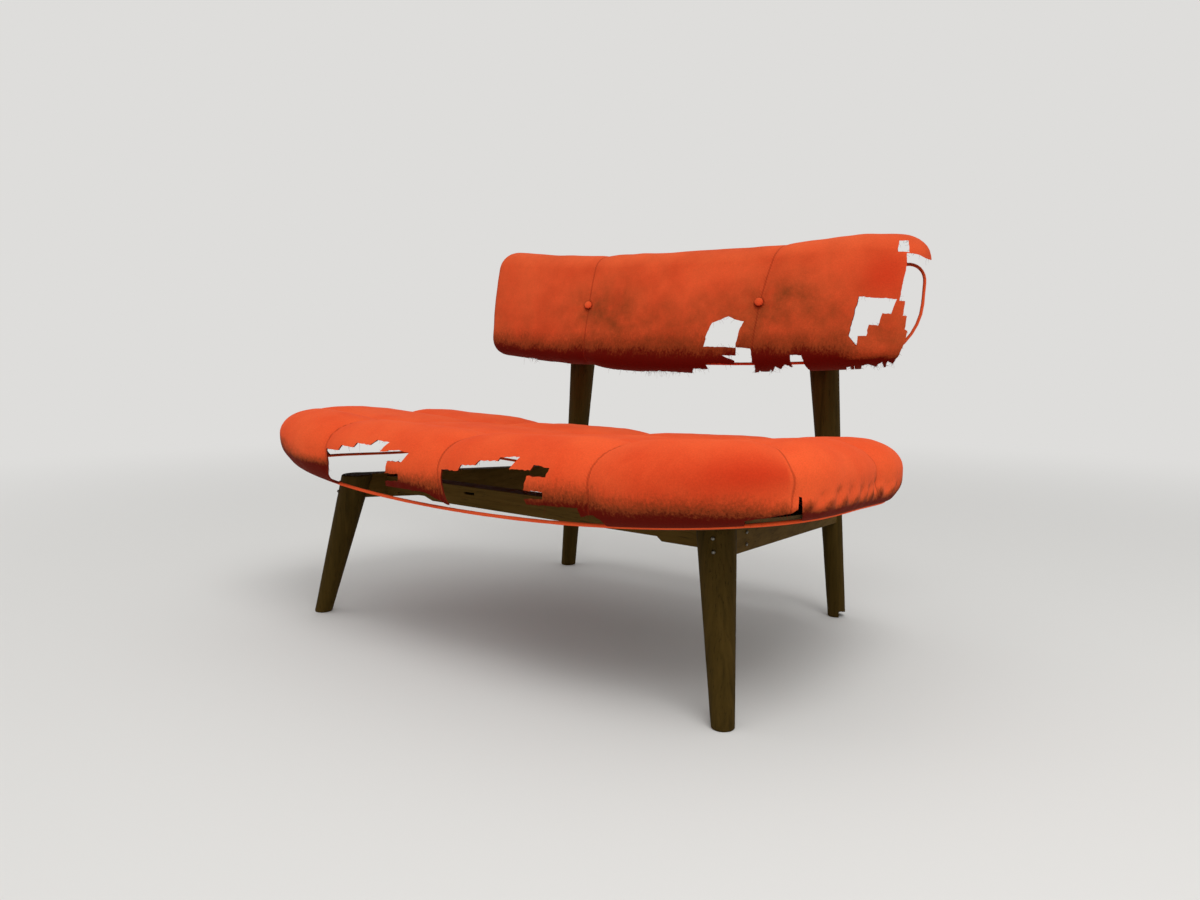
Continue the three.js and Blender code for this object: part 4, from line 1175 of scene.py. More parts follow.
    def quilted(self, net: CoverNet) -> dict[str, np.ndarray]:
        """Pull the seams in, let the padding between them swell, and paint the cloth's wear and its painted
        shade.

        Args:
            net: The smooth cover, whose points are moved.

        Returns:
            The values that the velvet is coloured by.
        """
        points = net.points
        normals = surface_normals(points, net.quads)
        rise = self.rise(points)
        x, y = points[:, 0], points[:, 1]
        column_mm, row_mm = self.seam_distances(points)
        columns, rows = np.abs(column_mm), np.abs(row_mm)
        free = smooth_step(rise, *self.loose_rise)
        pad = pillow(columns, self.pad_width) * pillow(rows, self.pad_width)
        move = (self.pad_swell * pad - self.seam_depth * (1 - pad)) * free
        move *= 1 + self.rear_pull * smooth_step(y, *self.rear_from[0]) * smooth_step(x, *self.rear_from[1])
        tuft = bell(columns, rows, (0, 0), (self.tuft_reach, self.tuft_reach))
        move -= self.tuft_depth * tuft * smooth_step(rise, *self.tuft_rise)
        sideways = smooth_step(np.abs(x), *self.ends)
        folds = np.sin(np.arctan2(y, x) * self.gathers + wrinkled(points, self.gather_sway))
        gather = folds * np.exp(-((rise - self.gather_height) / self.gather_reach) ** 2)
        move += (self.gather_depths[0] + self.gather_depths[1] * sideways) * gather
        move += wrinkled(points, self.wrinkles) * free
        net.points = points + normals * move[:, None]
        # Painted shade: dark red where the cloth turns from the key light, along the lower edge and in the
        # gathers' hollows.
        lit = surface_normals(net.points, net.quads) @ PAINTED_LIGHT_WAY
        low = rise - np.interp(x, *np.array(self.shade_line).T) + wrinkled(points, self.shade_line_waves)
        low -= self.gather_shade * sideways * gather
        crisp = np.maximum(sideways, smooth_step(-x, *self.crisp_left))
        fade = self.shade_fades[0] - self.shade_fades[1] * crisp
        corner = bell(x, rise, self.red_patch, self.red_reach) * smooth_step(row_mm, -3, 12)
        # The front wall is darker: wear, and painted shade for its face.
        front = 0.6 * smooth_step(x, -200, 0) + 0.5 * smooth_step(x, 260, 340)
        front *= smooth_step(-y, *self.front_wear_and_shade)
        stitched = rise > self.stitched_rise
        return {"painted_light": np.minimum(lit - PAINTED_SHADE_REACH, low / fade),
                "wear": self.worn[0] + self.worn[1] * front,
                "unfaded": np.where(y < -150, self.red_share * corner, 0.0),
                "column_mm": np.where(stitched, column_mm, NO_SEAM_MM),
                "row_mm": np.where(stitched, row_mm, NO_SEAM_MM)}

    def build(self, velvet: Material, lining: Material) -> None:
        """Build the torn cover, its threads and its piping.

        Args:
            velvet: The outside.
            lining: The inside, the torn edges and the threads.
        """
        net = self.net()
        values = self.quilted(net)
        torn_cover("seat", net, values, self.thick, self.tears, velvet, lining, first_tear=0, seed=61)
        line = self.lift(self.plan(self.angles()[0], 0.0), 0.0)
        welt_cord("seat", line, self.piping_d, (0, 0, 1), velvet)


def welt_cord(name: str, line: np.ndarray, diameter: float, facing: Triple,
              velvet: Material, sides: int = 12) -> None:
    """Build a closed round piping with the slight unevenness of hand-sewn welt.

    Args:
        name: What it borders.
        line: Points of its middle line, in millimetres.
        diameter: Its diameter.
        facing: A direction about square to the loop.
        velvet: The cloth round the cord.
        sides: Sides of its section.
    """
    count = len(line)
    along = np.roll(line, -1, 0) - np.roll(line, 1, 0)
    along /= np.linalg.norm(along, axis=1, keepdims=True)
    side = np.cross(along, np.array(facing, float))
    side /= np.linalg.norm(side, axis=1, keepdims=True)
    rise = np.cross(side, along)
    radius = diameter / 2 * (1 + 0.03 * ripple(line, 18, 8))
    turn = 2 * math.pi * np.arange(sides) / sides
    outward = side[:, None] * np.cos(turn)[None, :, None] + rise[:, None] * np.sin(turn)[None, :, None]
    points = line[:, None] + outward * radius[:, None, None]
    faces = [[i * sides + k, ((i + 1) % count) * sides + k, ((i + 1) % count) * sides + (k + 1) % sides,
              i * sides + (k + 1) % sides] for i in range(count) for k in range(sides)]
    cord = mesh_piece(f"{name}_piping_velvet", points.reshape(-1, 3), faces, [velvet])
    # Painted light and shade: the cord's side towards the key light is lighter, the other side darker.
    cord_painted_light = (outward.reshape(-1, 3) @ PAINTED_LIGHT_WAY) * 0.22 + 0.52
    paint_all(cord, {"painted_light": cord_painted_light, "wear": 0.15, **PLAIN_CLOTH})
    join_frame(cord, "velvet", f"{name}_piping")


@dataclass
class BackrestCover:
    """The torn backrest cover with its piping and buttons: a leaning pad with two buttoned seams."""

    half_width: float = 498.0
    half_height: float = 118.0
    corner_r: float = 44.0
    middle_z: float = 576.5
    rear_y: float = 293.0
    lean: float = 0.148
    dish: float = 25.7
    dish_span: float = 518.0
    tilt: float = 0.008
    depth: float = 91.0
    widest_depth: float = 45.0
    face_inset: float = 33.0
    crown: float = 4.5
    loop_half_width: float = 480.0
    loop_top: float = 60.0
    loop_bottom: float = -104.0
    loop_top_r: float = 36.0
    loop_bottom_r: float = 92.0
    rim_room: float = 3.1
    thick: float = 2.6
    piping_d: float = 5.6
    seams: tuple[float, ...] = (-204.0, 204.0)
    seam_runs: tuple[Triple, ...] = (  # sideways at the bottom, the button and the top
        (1.0, 5.0, 16.0), (-6.0, 4.0, 31.0))
    button_up: float = 9.0
    button_d: float = 17.5
    button_height: float = 9.0
    button_sides: int = 48
    button_rows: int = 12
    button_wrap: float = 0.86  # how far its cloth runs round, as a share of a half turn
    pleats: int = 12
    pleat_depth: float = 0.03
    seam_depth: float = 4.0
    dimple: float = 3.0
    dimple_reach: float = 26.0
    folds: int = 7  # creases that run out from each button
    fold_depth: float = 0.8
    fold_reach: float = 16.0
    calm_reach: float = 40.0  # round a button the cloth is held tight
    pad_width: float = 60.0
    loose_depth: Pair = (2.0, 40.0)  # depths between which the cloth leaves its rim
    wrinkles: Waves = ((1.1, 150, 13), (0.35, 45, 14))
    sag: float = 5.0
    corner_drop: float = 14.5
    end_slant: float = 10.0
    # unevenness of the painted shade's upper edge
    shade_line_waves: Waves = ((2.5, 80, 15), (2.5, 24, 17))
    # soft edge of the painted shade
    shade_fade: float = 115.0
    rubbed_spot: Pair = (50.0, 14.0)  # beside and above each button
    rubbed_reach: Pair = (80.0, 42.0)
    red_end: Pair = (455.0, 35.0)  # across and above the middle, where the dye was kept
    red_reach: Pair = (60.0, 60.0)
    red_share: float = 0.6
    stitched_depth: float = 20.0
    face_from: Pair = (80.0, 90.0)  # depths between which the wall turns into the face
    slack_left: Pair = (-260.0, 0.0)  # x where the sag of the lower edge sets in
    slack_right: Pair = (180.0, 240.0)  # and where it ends
    slack_height: float = 60.0
    drop_from: Pair = (370.0, 490.0)
    slant_from: float = 400.0
    shade_line: Outline = (  # where the painted shade along the lower edge ends: x and height
        (-500, 27), (-260, 27), (-200, 36), (204, 38), (320, 34), (380, 26), (415, 4), (460, -14), (500, -16))
    net_pitch: float = 5.5
    lower_rows: int = 18
    upper_rows: int = 16
    corner_steps: int = 8
    tears: tuple[Tear, ...] = field(default_factory=lambda: (
        Tear(((91.3, 507.1), (97.6, 529.7), (110.6, 552.1), (146.4, 563.7), (163.6, 557), (179.6, 554.1),
              (169.3, 536.9), (162.3, 513.1), (162.5, 505.7)), -FAR, 250, depth=0.7, seen_at=200),
        Tear(((162.9, 506.2), (194.6, 503.7), (195.7, 493.2), (200.1, 470), (160.8, 470), (160.8, 480.8),
              (147.8, 485.2), (133.6, 490.6), (163.2, 490.6)), -FAR, FAR, depth=0.5, seen_at=200),
        Tear(((281, 493), (304, 493), (307, 480), (309, 400), (279, 400)), -FAR, FAR),
        Tear(((402, 594), (470, 588), (462, 563), (447, 565), (441, 544), (425, 546), (422, 527),
              (407, 527), (406, 510), (390, 527)), -FAR, 250),
        Tear(((461, 667.8), (463.4, 685.6), (479.5, 684.5), (481.2, 665.5)),
             -FAR, FAR, depth=0.5, seen_at=222),
        Tear(((477.2, 664.4), (478, 646), (467, 586), (477, 585), (474, 561), (481, 560), (478, 538),
              (483, 535), (479, 517), (470, 495), (459, 480), (455, 400), (700, 400), (700, 640),
              (541.3, 646.5), (514, 652), (496, 661)), -FAR, FAR, depth=0.5, seen_at=222),
        Tear(((-530, 380), (-500, 468), (-476, 475), (-447, 472), (-428, 472), (-425, 480), (-381, 478),
              (-369, 476), (-363, 469), (-318, 471), (-274, 468), (-263, 464), (-229, 467), (-212, 458),
              (-187, 461), (-140, 457), (-89, 455), (-30, 457), (47, 454), (49, 463), (85, 463),
              (79, 470), (75, 475), (130, 474), (187, 475), (190, 380)),
             -FAR, FAR, step=3.0, depth=0.8, seen_at=230),
        Tear(((196, 380), (197, 463), (216, 457), (221, 465), (226, 461), (231, 471), (243, 466),
              (250, 475), (266, 470), (270, 480), (283, 476), (283, 380)),
             -FAR, FAR, step=3.0, depth=0.8, seen_at=230),
        Tear(((300, 380), (301, 462), (318, 459), (340, 463), (370, 464), (372, 472), (379, 473),
              (382, 464), (385, 464), (387, 475), (390, 461), (397, 460), (400, 475), (412, 478),
              (425, 474), (437, 482), (441, 469), (447, 484), (455, 479), (470, 380)),
             -FAR, FAR, step=3.0, depth=0.8, seen_at=230),
    ))

    def lift(self, across: np.ndarray, up: np.ndarray, forward: np.ndarray | float) -> np.ndarray:
        """Place points of the leaning, dished and tilted backrest.

        Args:
            across: Distance to the right of the middle.
            up: Distance above the middle.
            forward: Distance in front of the rear plane.

        Returns:
            The points in space.
        """
        z = self.middle_z + up + self.dish * (across / self.dish_span) ** 2 - self.tilt * across
        return np.stack([across, self.rear_y + self.lean * (z - self.middle_z) - forward, z], -1)

    def outline(self, half: float, top: float, bottom: float, top_r: float, bottom_r: float,
                across: np.ndarray, upright: np.ndarray) -> np.ndarray:
        """Draw a rectangle with round corners through matching stations.

        Args:
            half: Half width.
            top: Top edge.
            bottom: Bottom edge.
            top_r: Radius of the upper corners.
            bottom_r: Radius of the lower corners.
            across: Shares along the straight top and bottom, from 0 to 1.
            upright: Shares along the straight ends, from 0 to 1.

        Returns:
            Points from the middle of the lower left corner, along the bottom and round.
        """
        half_turn = np.linspace(0, math.pi / 4, self.corner_steps // 2 + 1)
        parts = []

        def corner(x: float, y: float, r: float, start: float) -> None:
            """Add half of a corner's arc."""
            turn = start + half_turn
            parts.append(np.stack([x + r * np.cos(turn), y + r * np.sin(turn)], -1)[:-1])

        def run(x0: float, y0: float, x1: float, y1: float, shares: np.ndarray) -> None:
            """Add a straight edge without its last point."""
            s = shares[:-1, None]
            parts.append(np.array([x0, y0]) * (1 - s) + np.array([x1, y1]) * s)

        low, high = bottom + bottom_r, top - top_r
        corners = ((-half + bottom_r, low, bottom_r), (half - bottom_r, low, bottom_r),
                   (half - top_r, high, top_r), (-half + top_r, high, top_r))
        runs = ((-half + bottom_r, bottom, half - bottom_r, bottom, across), (half, low, half, high, upright),
                (half - top_r, top, -half + top_r, top, 1 - across[::-1]),
                (-half, high, -half, low, 1 - upright[::-1]))
        for i, edge in enumerate(runs):
            corner(*corners[i], (5 + 2 * i) % 8 * math.pi / 4)
            run(*edge)
            corner(*corners[(i + 1) % 4], (6 + 2 * i) % 8 * math.pi / 4)
        return np.concatenate(parts)

    def shares(self) -> tuple[np.ndarray, np.ndarray]:
        """Choose stations along the straight edges that hit the seams.

        Returns:
            Shares along the long edges and along the ends.
        """
        run = self.half_width - self.corner_r
        xs = stations(-run, run, self.seams, self.net_pitch)
        ends = self.half_height - self.corner_r
        return (xs + run) / (2 * run), np.linspace(0, 1, round(2 * ends / self.net_pitch) + 1)

    def loop_outline(self, grow: float) -> np.ndarray:
        """Draw the line of the piping, grown outwards."""
        return self.outline(self.loop_half_width + grow, self.loop_top + grow, self.loop_bottom - grow,
                            self.loop_top_r + grow, self.loop_bottom_r + grow, *self.shares())

    def widest_outline(self, inset: float) -> np.ndarray:
        """Draw the widest line of the cover, drawn in by an inset."""
        return self.outline(self.half_width - inset, self.half_height - inset, -self.half_height + inset,
                            self.corner_r - inset, self.corner_r - inset, *self.shares())

    def net(self) -> CoverNet:
        """Build the smooth cover, before seams and wrinkles.

        Returns:
            The net of its outside.
        """
        loop, widest = self.loop_outline(self.rim_room), self.widest_outline(0.0)
        walls = []
        for turn in np.linspace(0, math.pi / 2, self.lower_rows + 1):
            plan = loop + (widest - loop) * math.sin(turn)
            walls.append(self.lift(plan[:, 0], plan[:, 1], self.widest_depth * (1 - math.cos(turn))))
        for turn in np.linspace(0, math.pi / 2, self.upper_rows + 1)[1:]:
            plan = self.widest_outline(self.face_inset * (1 - math.cos(turn)))
            forward = self.widest_depth + (self.depth - self.widest_depth) * math.sin(turn)
            walls.append(self.lift(plan[:, 0], plan[:, 1], forward))
        columns, rows = (len(shares) - 1 + self.corner_steps for shares in self.shares())
        plan = face_net(self.widest_outline(self.face_inset), columns, rows)
        reach = np.array([self.half_width, self.half_height]) - self.face_inset
        swell = np.prod(1 - np.clip(plan / reach, -1, 1) ** 2, axis=-1)
        face = self.lift(plan[..., 0], plan[..., 1], self.depth + self.crown * swell)
        return CoverNet.build(np.array(walls), face)

    def quilted(self, net: CoverNet) -> dict[str, np.ndarray]:
        """Pull the buttoned seams in, ruffle the cloth, and paint its wear and its painted shade.

        Args:
            net: The smooth cover, whose points are moved.

        Returns:
            The values that the velvet is coloured by.
        """
        points = net.points
        normals = surface_normals(points, net.quads)
        x, z = points[:, 0], points[:, 2]
        up = z - self.middle_z - self.dish * (x / self.dish_span) ** 2 + self.tilt * x
        forward = self.rear_y + self.lean * (z - self.middle_z) - points[:, 1]
        free = smooth_step(forward, *self.loose_depth)
        bent = [x - s - np.interp(up, (-self.half_height, self.button_up, self.half_height), run)
                for s, run in zip(self.seams, self.seam_runs)]
        column_mm = np.where(x < 0, -bent[0], bent[1])
        pad = pillow(np.abs(column_mm), self.pad_width)
        move = -self.seam_depth * (1 - pad) * free
        beside = np.min([np.abs(x - spot) for spot in self.button_spots()], axis=0)
        button = np.hypot(beside, up - self.button_up)
        front = smooth_step(forward, *self.face_from)
        move -= self.dimple * np.exp(-(button / self.dimple_reach) ** 2) * front
        fold = np.cos(np.arctan2(up - self.button_up, beside) * self.folds)
        fold *= np.exp(-((button - self.dimple_reach) / self.fold_reach) ** 2)
        move += self.fold_depth * fold * front
        calm = free * (1 - np.exp(-(button / self.calm_reach) ** 2) * front)
        move += wrinkled(points, self.wrinkles) * calm
        net.points = points + normals * move[:, None]
        height = up + self.half_height
        slack = smooth_step(x, *self.slack_left) * smooth_step(-x, -self.slack_right[1], -self.slack_right[0])
        net.points[:, 2] -= self.sag * slack * smooth_step(-height, -self.slack_height, 0) * free
        drop = smooth_step(x, *self.drop_from) * smooth_step(up, 20, self.half_height)
        slant = smooth_step(-x, self.slant_from, self.half_width) * smooth_step(up, -20, self.half_height)
        net.points[:, 2] -= self.corner_drop * drop
        net.points[:, 0] += self.end_slant * slant
        # Painted shade: dark red where the cloth turns from the key light and along the lower edge.
        lit = surface_normals(net.points, net.quads) @ PAINTED_LIGHT_WAY
        low = height - np.interp(x, *np.array(self.shade_line).T) + wrinkled(points, self.shade_line_waves)
        beside_mm, above_mm = self.rubbed_spot
        rubbed = sum(bell(x, up, (seam + beside_mm, self.button_up + above_mm), self.rubbed_reach)
                     for seam in self.seams)
        # Wear 0.34 all over, which is also painted shade for the face, more beside and above the buttons and
        # more towards the bottom.
        wear = 0.34 + 0.7 * rubbed + (0.35 + 0.55 * smooth_step(x, -330, -180)) * smooth_step(-up, -70, 40)
        end = bell(x, up, self.red_end, self.red_reach)
        # row_mm here is the distance to a ring round each button, where a painted shadow ring lies; column_mm
        # places the seams' painted shade.
        return {"painted_light": np.minimum(lit - PAINTED_SHADE_REACH, low / self.shade_fade), "wear": wear * (1 - 0.8 * end),
                "unfaded": self.red_share * end,
                "column_mm": np.where(forward > self.stitched_depth, column_mm, NO_SEAM_MM),
                "row_mm": np.where(front > 0.5, button - self.button_d * 0.55, NO_SEAM_MM)}

    def button_spots(self) -> list[float]:
        """List where the buttons sit across the backrest."""
        return [seam + run[1] for seam, run in zip(self.seams, self.seam_runs)]

    def build(self, velvet: Material, lining: Material) -> None:
        """Build the torn cover, its piping and its buttons.

        Args:
            velvet: The outside.
            lining: The inside and the torn edges.
        """
        net = self.net()
        values = self.quilted(net)
        torn_cover("backrest", net, values, self.thick, self.tears, velvet, lining, first_tear=20, seed=62)
        line = self.loop_outline(0.0)
        welt_cord("backrest", self.lift(line[:, 0], line[:, 1], 0.0), self.piping_d, (0, -1, 0), velvet)
        for place, hand in zip(self.button_spots(), ("left", "right")):
            self.button(place, hand, velvet)

    def button(self, place: float, hand: str, velvet: Material) -> None:
        """Build a covered button, with the cloth pleated round its rim.

        Args:
            place: Where it sits across the backrest.
            hand: The side's name.
            velvet: The button's cloth.
        """
        surface = self.depth + self.crown * 0.8 - self.seam_depth - self.dimple
        spot = self.lift(np.array(place), np.array(self.button_up), surface)
        axis = np.array([0.0, -1.0, self.lean])
        axis /= np.linalg.norm(axis)
        right = np.array([1.0, 0.0, 0.0])
        over = np.cross(axis, right) * -1
        sides, rows = self.button_sides, self.button_rows
        points = []
        for i in range(rows + 1):
            turn = math.pi * (self.button_wrap - self.button_wrap * i / rows)
            radius = self.button_d / 2 * math.sin(turn) if i < rows else 0.0
            rise = self.button_height * (0.4 + 0.6 * math.cos(turn))
            for k in range(sides):
                angle = 2 * math.pi * k / sides
                pleat = 1 + self.pleat_depth * math.sin(angle * self.pleats) * math.sin(turn)
                outward = right * math.cos(angle) + over * math.sin(angle)
                points.append(spot + axis * rise + outward * radius * pleat)
        faces = ring_faces(rows + 1, sides)[:-1]  # the tip needs no face of its own
        piece = mesh_piece(f"back_button_{hand}_velvet", np.array(points), faces, [velvet])
        mend_faces(piece)
        normals = np.array([vertex.normal for vertex in piece.data.vertices])
        # Painted shade: the button's side turned from the key light goes dark red.
        paint_all(piece, {"painted_light": normals @ PAINTED_LIGHT_WAY + 0.05, "wear": 0.3, **PLAIN_CLOTH})
        join_frame(piece, "velvet", f"back_button_{hand}")


@dataclass
class TurnedFrame:
    """The turned legs and posts, with worn edges, dents and one chipped foot."""

    front_foot_x: float = 450.0
    front_foot_y: float = -296.0
    leg_height: float = 265.0
    foot_d: float = 33.0
    leg_top_d: float = 58.0
    leg_splay: Pair = (0.179, 0.197)
    rear_foot_x: float = 336.0
    rear_foot_y: float = 296.0
    post_lean: Pair = (0.088, 0.0106)
    post_profile: Outline = ((33.0, 0.0), (40.0, 215.0), (57.0, 500.0), (48.0, 632.0))
    edge: float = 2.5
    sides: int = 96
    pitch: float = 6.0
    true_round: float = 0.99  # keeps the round inside the sockets of the rails
    edge_steps: int = 6
    dent_pitch: float = 26.0
    dent_level: float = 1.35  # only the highest ripples are dents
    dent_depth: float = 0.9
    wear_pitch: float = 60.0
    wear_depth: float = 0.12
    planed_room: float = 0.3  # between a planed post and the backrest's piping
    chip: Outline = ((341, 8), (368, 12), (368, -17), (349, -16), (344.6, -6), (340.5, -5))

    def lathe(self, name: str, profile: Outline, foot: Pair,
              lean: Pair, wood: Material, seed: int) -> Piece:
        """Turn a leaning round piece with rounded ends and small dents.

        Args:
            name: The piece's name.
            profile: Diameters and heights from the foot up.
            foot: x and y of the foot.
            lean: Sideways run per height.
            wood: Its material.
            seed: Number that fixes the dents.

        Returns:
            The piece.
        """
        diameters, heights = np.array(profile).T
        top = heights[-1]
        levels = np.linspace(self.edge, top - self.edge, round(top / self.pitch) + 1)
        radii = np.interp(levels, heights, diameters) / 2 * self.true_round
        bend = np.linspace(0, math.pi / 2, self.edge_steps)
        low_r = radii[0] - self.edge + self.edge * np.sin(bend)
        low_z = self.edge - self.edge * np.cos(bend)
        high_r = radii[-1] - self.edge + self.edge * np.cos(bend)
        high_z = top - self.edge + self.edge * np.sin(bend)
        inner = np.linspace(0.02, 0.9, self.edge_steps)
        ring_r = np.concatenate([low_r[0] * inner, low_r, radii[1:-1], high_r, high_r[-1] * inner[::-1]])
        ring_z = np.concatenate([0 * inner, low_z, levels[1:-1], high_z, 0 * inner + top])
        turn = 2 * math.pi * np.arange(self.sides) / self.sides
        flat = np.stack([ring_r[:, None] * np.cos(turn), ring_r[:, None] * np.sin(turn),
                         np.repeat(ring_z[:, None], self.sides, 1)], -1).reshape(-1, 3)
        dents = np.clip(ripple(flat, self.dent_pitch, seed, 14) - self.dent_level, 0, 1) * self.dent_depth
        wear = self.wear_depth * ripple(flat, self.wear_pitch, seed + 1)
        around = np.hypot(flat[:, 0], flat[:, 1])
        shrink = 1 - (dents + np.abs(wear)) / np.maximum(around, 8.0)
        flat[:, 0] *= shrink
        flat[:, 1] *= shrink
        flat[:, 0] += foot[0] + lean[0] * flat[:, 2]
        flat[:, 1] += foot[1] + lean[1] * flat[:, 2]
        piece = mesh_piece(name, flat, ring_faces(len(ring_r), self.sides), [wood])
        piece.data.set_sharp_from_angle(angle=math.radians(60))
        return piece

    def build(self, wood: Material, back: BackrestCover) -> None:
        """Build both legs and both posts.

        Args:
            wood: Their material, grained upright.
            back: The backrest, which lies against the planed posts.
        """
        for side, hand in ((-1, "left"), (1, "right")):
            taper = ((self.foot_d, 0.0), (self.leg_top_d, self.leg_height))
            leg = self.lathe(f"front_leg_{hand}_turned", taper,
                             (side * self.front_foot_x, self.front_foot_y),
                             (-side * self.leg_splay[0], self.leg_splay[1]), wood, 20 + side)
            join_frame(leg, "olive_wood", f"front_leg_{hand}")
            post = self.lathe(f"rear_post_{hand}_turned", self.post_profile,
                              (side * self.rear_foot_x, self.rear_foot_y),
                              (-side * self.post_lean[0], self.post_lean[1]), wood, 30 + side)
            self.plane_post(post, back)
            if side > 0:
                self.chip_foot(post)
            join_frame(post, "olive_wood", f"rear_post_{hand}")

    def plane_post(self, post: Piece, back: BackrestCover) -> None:
        """Plane the front of a post flat where the backrest lies against it.

        Args:
            post: The post that is cut.
            back: The backrest.
        """
        low, high = back.middle_z - 2 * back.half_height, back.middle_z + 2 * back.half_height
        room = back.piping_d / 2 + self.planed_room
        line = [(back.rear_y + back.lean * (z - back.middle_z) + room, z) for z in (low, high)]
        outline = ((-FAR, low), *line, (-FAR, high))
        straight = Tear(outline, -FAR, FAR, Axis.X, step=2 * FAR, depth=0.0)
        take_away(post, [straight.tool(number=50, edge_slot=0)])
        post.data.set_sharp_from_angle(angle=math.radians(40))

    def chip_foot(self, post: Piece) -> None:
        """Knock a splinter off the outside of a foot."""
        splinter = Tear(self.chip, -FAR, FAR, step=2.0, depth=0.5, seen_at=self.rear_foot_y)
        take_away(post, [splinter.tool(number=51, edge_slot=0)])


@dataclass
class ScrewHeads:
    """The domed screw heads on the legs and the side rails, each with a small round recess."""

    head_d: float = 5.4
    height: float = 2.6
    recess_d: float = 2.0
    recess: float = 0.9
    neck: float = 0.4
    sides: int = 32

    def line(self, points: np.ndarray) -> tuple[np.ndarray, np.ndarray]:
        """Find a screw's line from the points of its solid.

        Args:
            points: The solid's points, in the frame.

        Returns:
            The top of its head and the direction out of the wood.
        """
        middle = points.mean(0)
        along = np.linalg.svd(points - middle)[2][0]
        run = (points - middle) @ along
        wide = np.linalg.norm(points - middle - run[:, None] * along, axis=1)
        if run[wide.argmax()] < 0:
            along, run = -along, -run
        return middle + along * run.max(), along

    def build(self, steel: Material) -> None:
        """Build a head on every screw of the frame.

        Args:
            steel: The plated steel.
        """
        bend = np.linspace(0, 1, 8)
        dome = [(self.head_d / 2 * math.sin(b * math.pi / 2), self.height * math.cos(b * math.pi / 2) ** 0.8)
                for b in bend]
        rim = [(r, h) for r, h in dome if r > self.recess_d / 2]
        lip = self.recess_d / 2
        profile = [(0.02, self.height - self.recess), (lip * 0.8, self.height - self.recess),
                   (lip, self.height * 0.93), *rim, (self.head_d / 2 - 0.2, -self.neck), (0.02, -self.neck)]
        turn = 2 * math.pi * np.arange(self.sides) / self.sides
        for name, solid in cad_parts.items():
            if "_screw_" not in name:
                continue
            top, along = self.line(np.array([vertex.co for vertex in solid.data.vertices]))
            side = np.cross(along, (0.0, 0.0, 1.0))
            side /= np.linalg.norm(side)
            up = np.cross(side, along)
            base = from_frame(top) - along * self.height
            points = [base + along * h + (side * math.cos(t) + up * math.sin(t)) * r
                      for r, h in profile for t in turn]
            faces = ring_faces(len(profile), self.sides)
            head = mesh_piece(f"{name}_head", np.array(points), faces, [steel])
            head.data.set_sharp_from_angle(angle=math.radians(40))
            join_frame(head, "steel", name)


def dress(piece: Piece, material: Material) -> None:
    """Give all slots of a CAD piece one material.

    Args:
        piece: The CAD piece.
        material: Its material.
    """
    if not piece.data.materials:
        piece.data.materials.append(material)
    for i in range(len(piece.data.materials)):
        piece.data.materials[i] = material
    log.info("%s: dressed", piece.name)


@dataclass
class Rails:
    """The planed rails of the frame and the broken boards that carried the padding."""

    brightened_wood: tuple[str, ...] = ("#614920", "#553f17", "#44320f", "#322408")  # painted light: paler than the legs' wood, to lift the shade under the seat
    seat_through: Triple = (0.0, 0.042, 1.0)
    back_through: Triple = (0.0, 1.0, -0.148)

    def build(self) -> None:
        """Give every rail and board the wood that it is made of."""
        across = OiledAsh(Grain.ACROSS_THE_CHAIR, *self.brightened_wood).material()
        along = OiledAsh(Grain.FRONT_TO_BACK, *self.brightened_wood).material()
        seat = BrokenPlywood("birch_plywood_snapped_flat", self.seat_through).material()
        back = BrokenPlywood("birch_plywood_snapped_upright", self.back_through).material()
        for name, wood in (("front_rail", across), ("rear_rail", across), ("side_rail_left", along),
                           ("side_rail_right", along), ("seat_board", seat), ("back_board", back)):
            dress(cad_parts[name], wood)


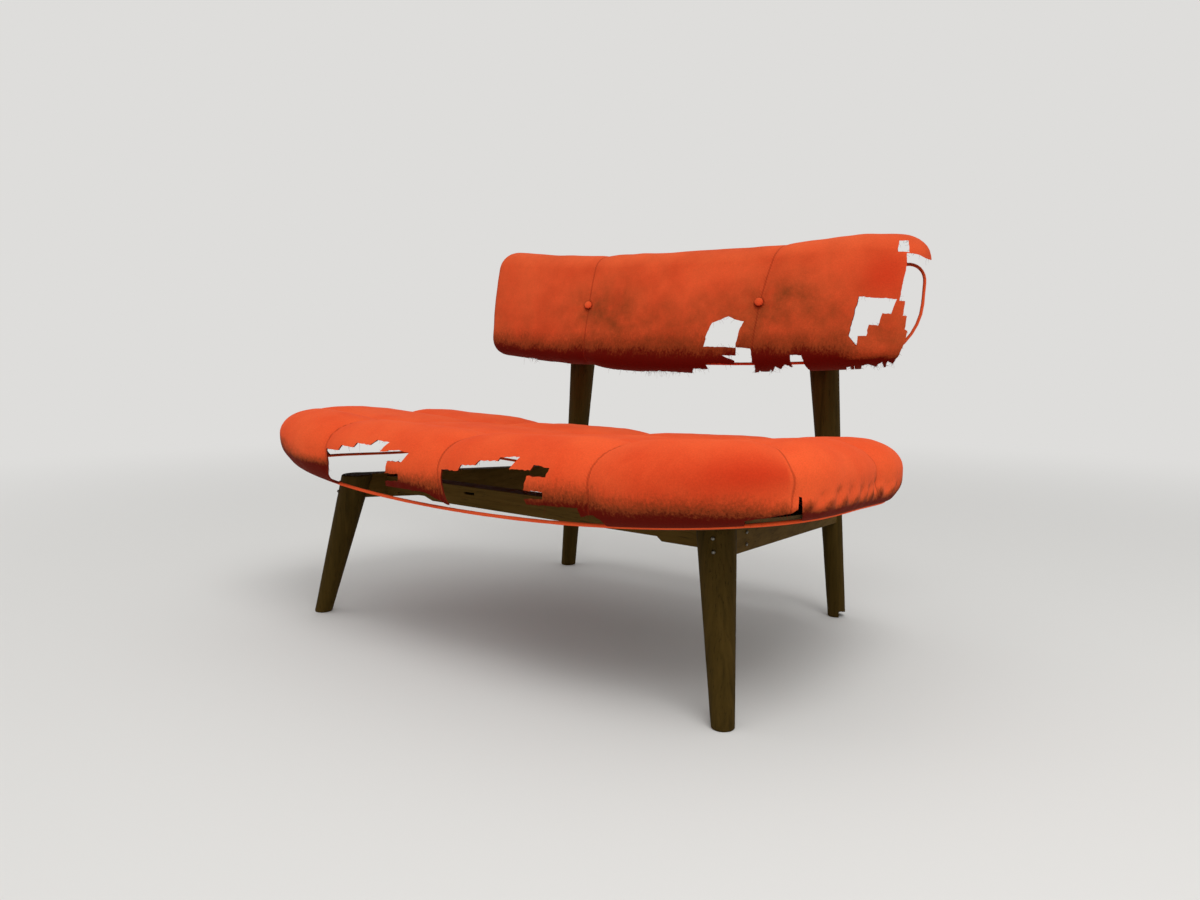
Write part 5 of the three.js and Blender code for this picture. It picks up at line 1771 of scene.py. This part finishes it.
@dataclass
class Studio:
    """The camera of the photograph, a pale floor and soft light."""

    azimuth: float = 38.91
    elevation: float = 6.62
    lens: float = 28.95
    key_watts: float = 44.0
    fill_watts: float = 6.0
    sky_strength: float = 0.62

    def build(self) -> None:
        """Set up the camera, the floor and the light."""
        scene = bpy.context.scene
        scene.view_settings.view_transform = "Standard"
        camera = bpy.data.cameras.new("camera")
        camera.lens = self.lens
        camera.sensor_width = 36.0
        camera.clip_end = 200.0
        viewer = bpy.data.objects.new("camera", camera)
        azimuth, elevation = math.radians(self.azimuth), math.radians(self.elevation)
        look = Vector((-math.sin(azimuth) * math.cos(elevation), math.cos(azimuth) * math.cos(elevation),
                       -math.sin(elevation)))
        viewer.location = in_frame(VIEWER)
        viewer.rotation_euler = look.to_track_quat("-Z", "Y").to_euler()
        scene.collection.objects.link(viewer)
        scene.camera = viewer
        self.floor()
        self.lamp("key", (1.6, -1.0, 2.9), 1.8, self.key_watts)
        self.lamp("fill", (-2.4, -1.2, 1.6), 2.2, self.fill_watts)
        self.world()

    def floor(self) -> None:
        """Lay the floor."""
        size = 60000.0
        corners = np.array([(-size, -size, 0), (size, -size, 0), (size, size, 0), (-size, size, 0)])
        floor = mesh_piece("floor", corners, [[0, 1, 2, 3]], [PaleFloor().material()], False)

    def lamp(self, name: str, place: Triple, size: float, watts: float) -> None:
        """Hang a square softbox that faces the chair.

        Args:
            name: The lamp's name.
            place: Where it hangs, in metres.
            size: Its side, in metres.
            watts: Its power.
        """
        light = bpy.data.lights.new(name, "AREA")
        light.size = size
        light.energy = watts
        piece = bpy.data.objects.new(name, light)
        piece.location = place
        piece.rotation_euler = (Vector((0, 0, 0.35)) - Vector(place)).to_track_quat("-Z", "Y").to_euler()
        bpy.context.scene.collection.objects.link(piece)

    def world(self) -> None:
        """Light the studio evenly, with a pale backdrop behind the chair."""
        world = bpy.data.worlds.new("studio")
        world.use_nodes = True
        world.node_tree.nodes.clear()
        tree = world.node_tree
        soft = node(tree, "ShaderNodeBackground", None, {
            "Color": srgb("#ffffff"), "Strength": self.sky_strength})
        pale = node(tree, "ShaderNodeBackground", None, {
            "Color": srgb(PaleFloor().backdrop), "Strength": 1.0})
        mixed = node(tree, "ShaderNodeMixShader", None, {
            0: direct_sight(tree), 1: soft.outputs[0], 2: pale.outputs[0]})
        node(tree, "ShaderNodeOutputWorld", None, {"Surface": mixed.outputs[0]})
        bpy.context.scene.world = world


def main() -> None:
    """Build the chair's visible pieces in order, from the frame to the covers."""
    logging.basicConfig(level=logging.INFO, format="%(name)s: %(message)s")
    velvet, lining = CutPileVelvet().material(), LiningCloth().material()
    # The backrest's velvet: its darker wear colour is also painted shade for its face.
    shaded_back_velvet = CutPileVelvet("cotton_velvet_cut_pile_back", faded="#ee5f33", full="#dd5029",
                                  worn="#8f421e").material()
    back = BackrestCover()
    Studio().build()
    Rails().build()
    ScrewHeads().build(ZincedSteel().material())
    TurnedFrame().build(OiledAsh(Grain.UPRIGHT).material(), back)
    SeatCover().build(velvet, lining)
    back.build(shaded_back_velvet, lining)


if __name__ == "__main__":
    main()
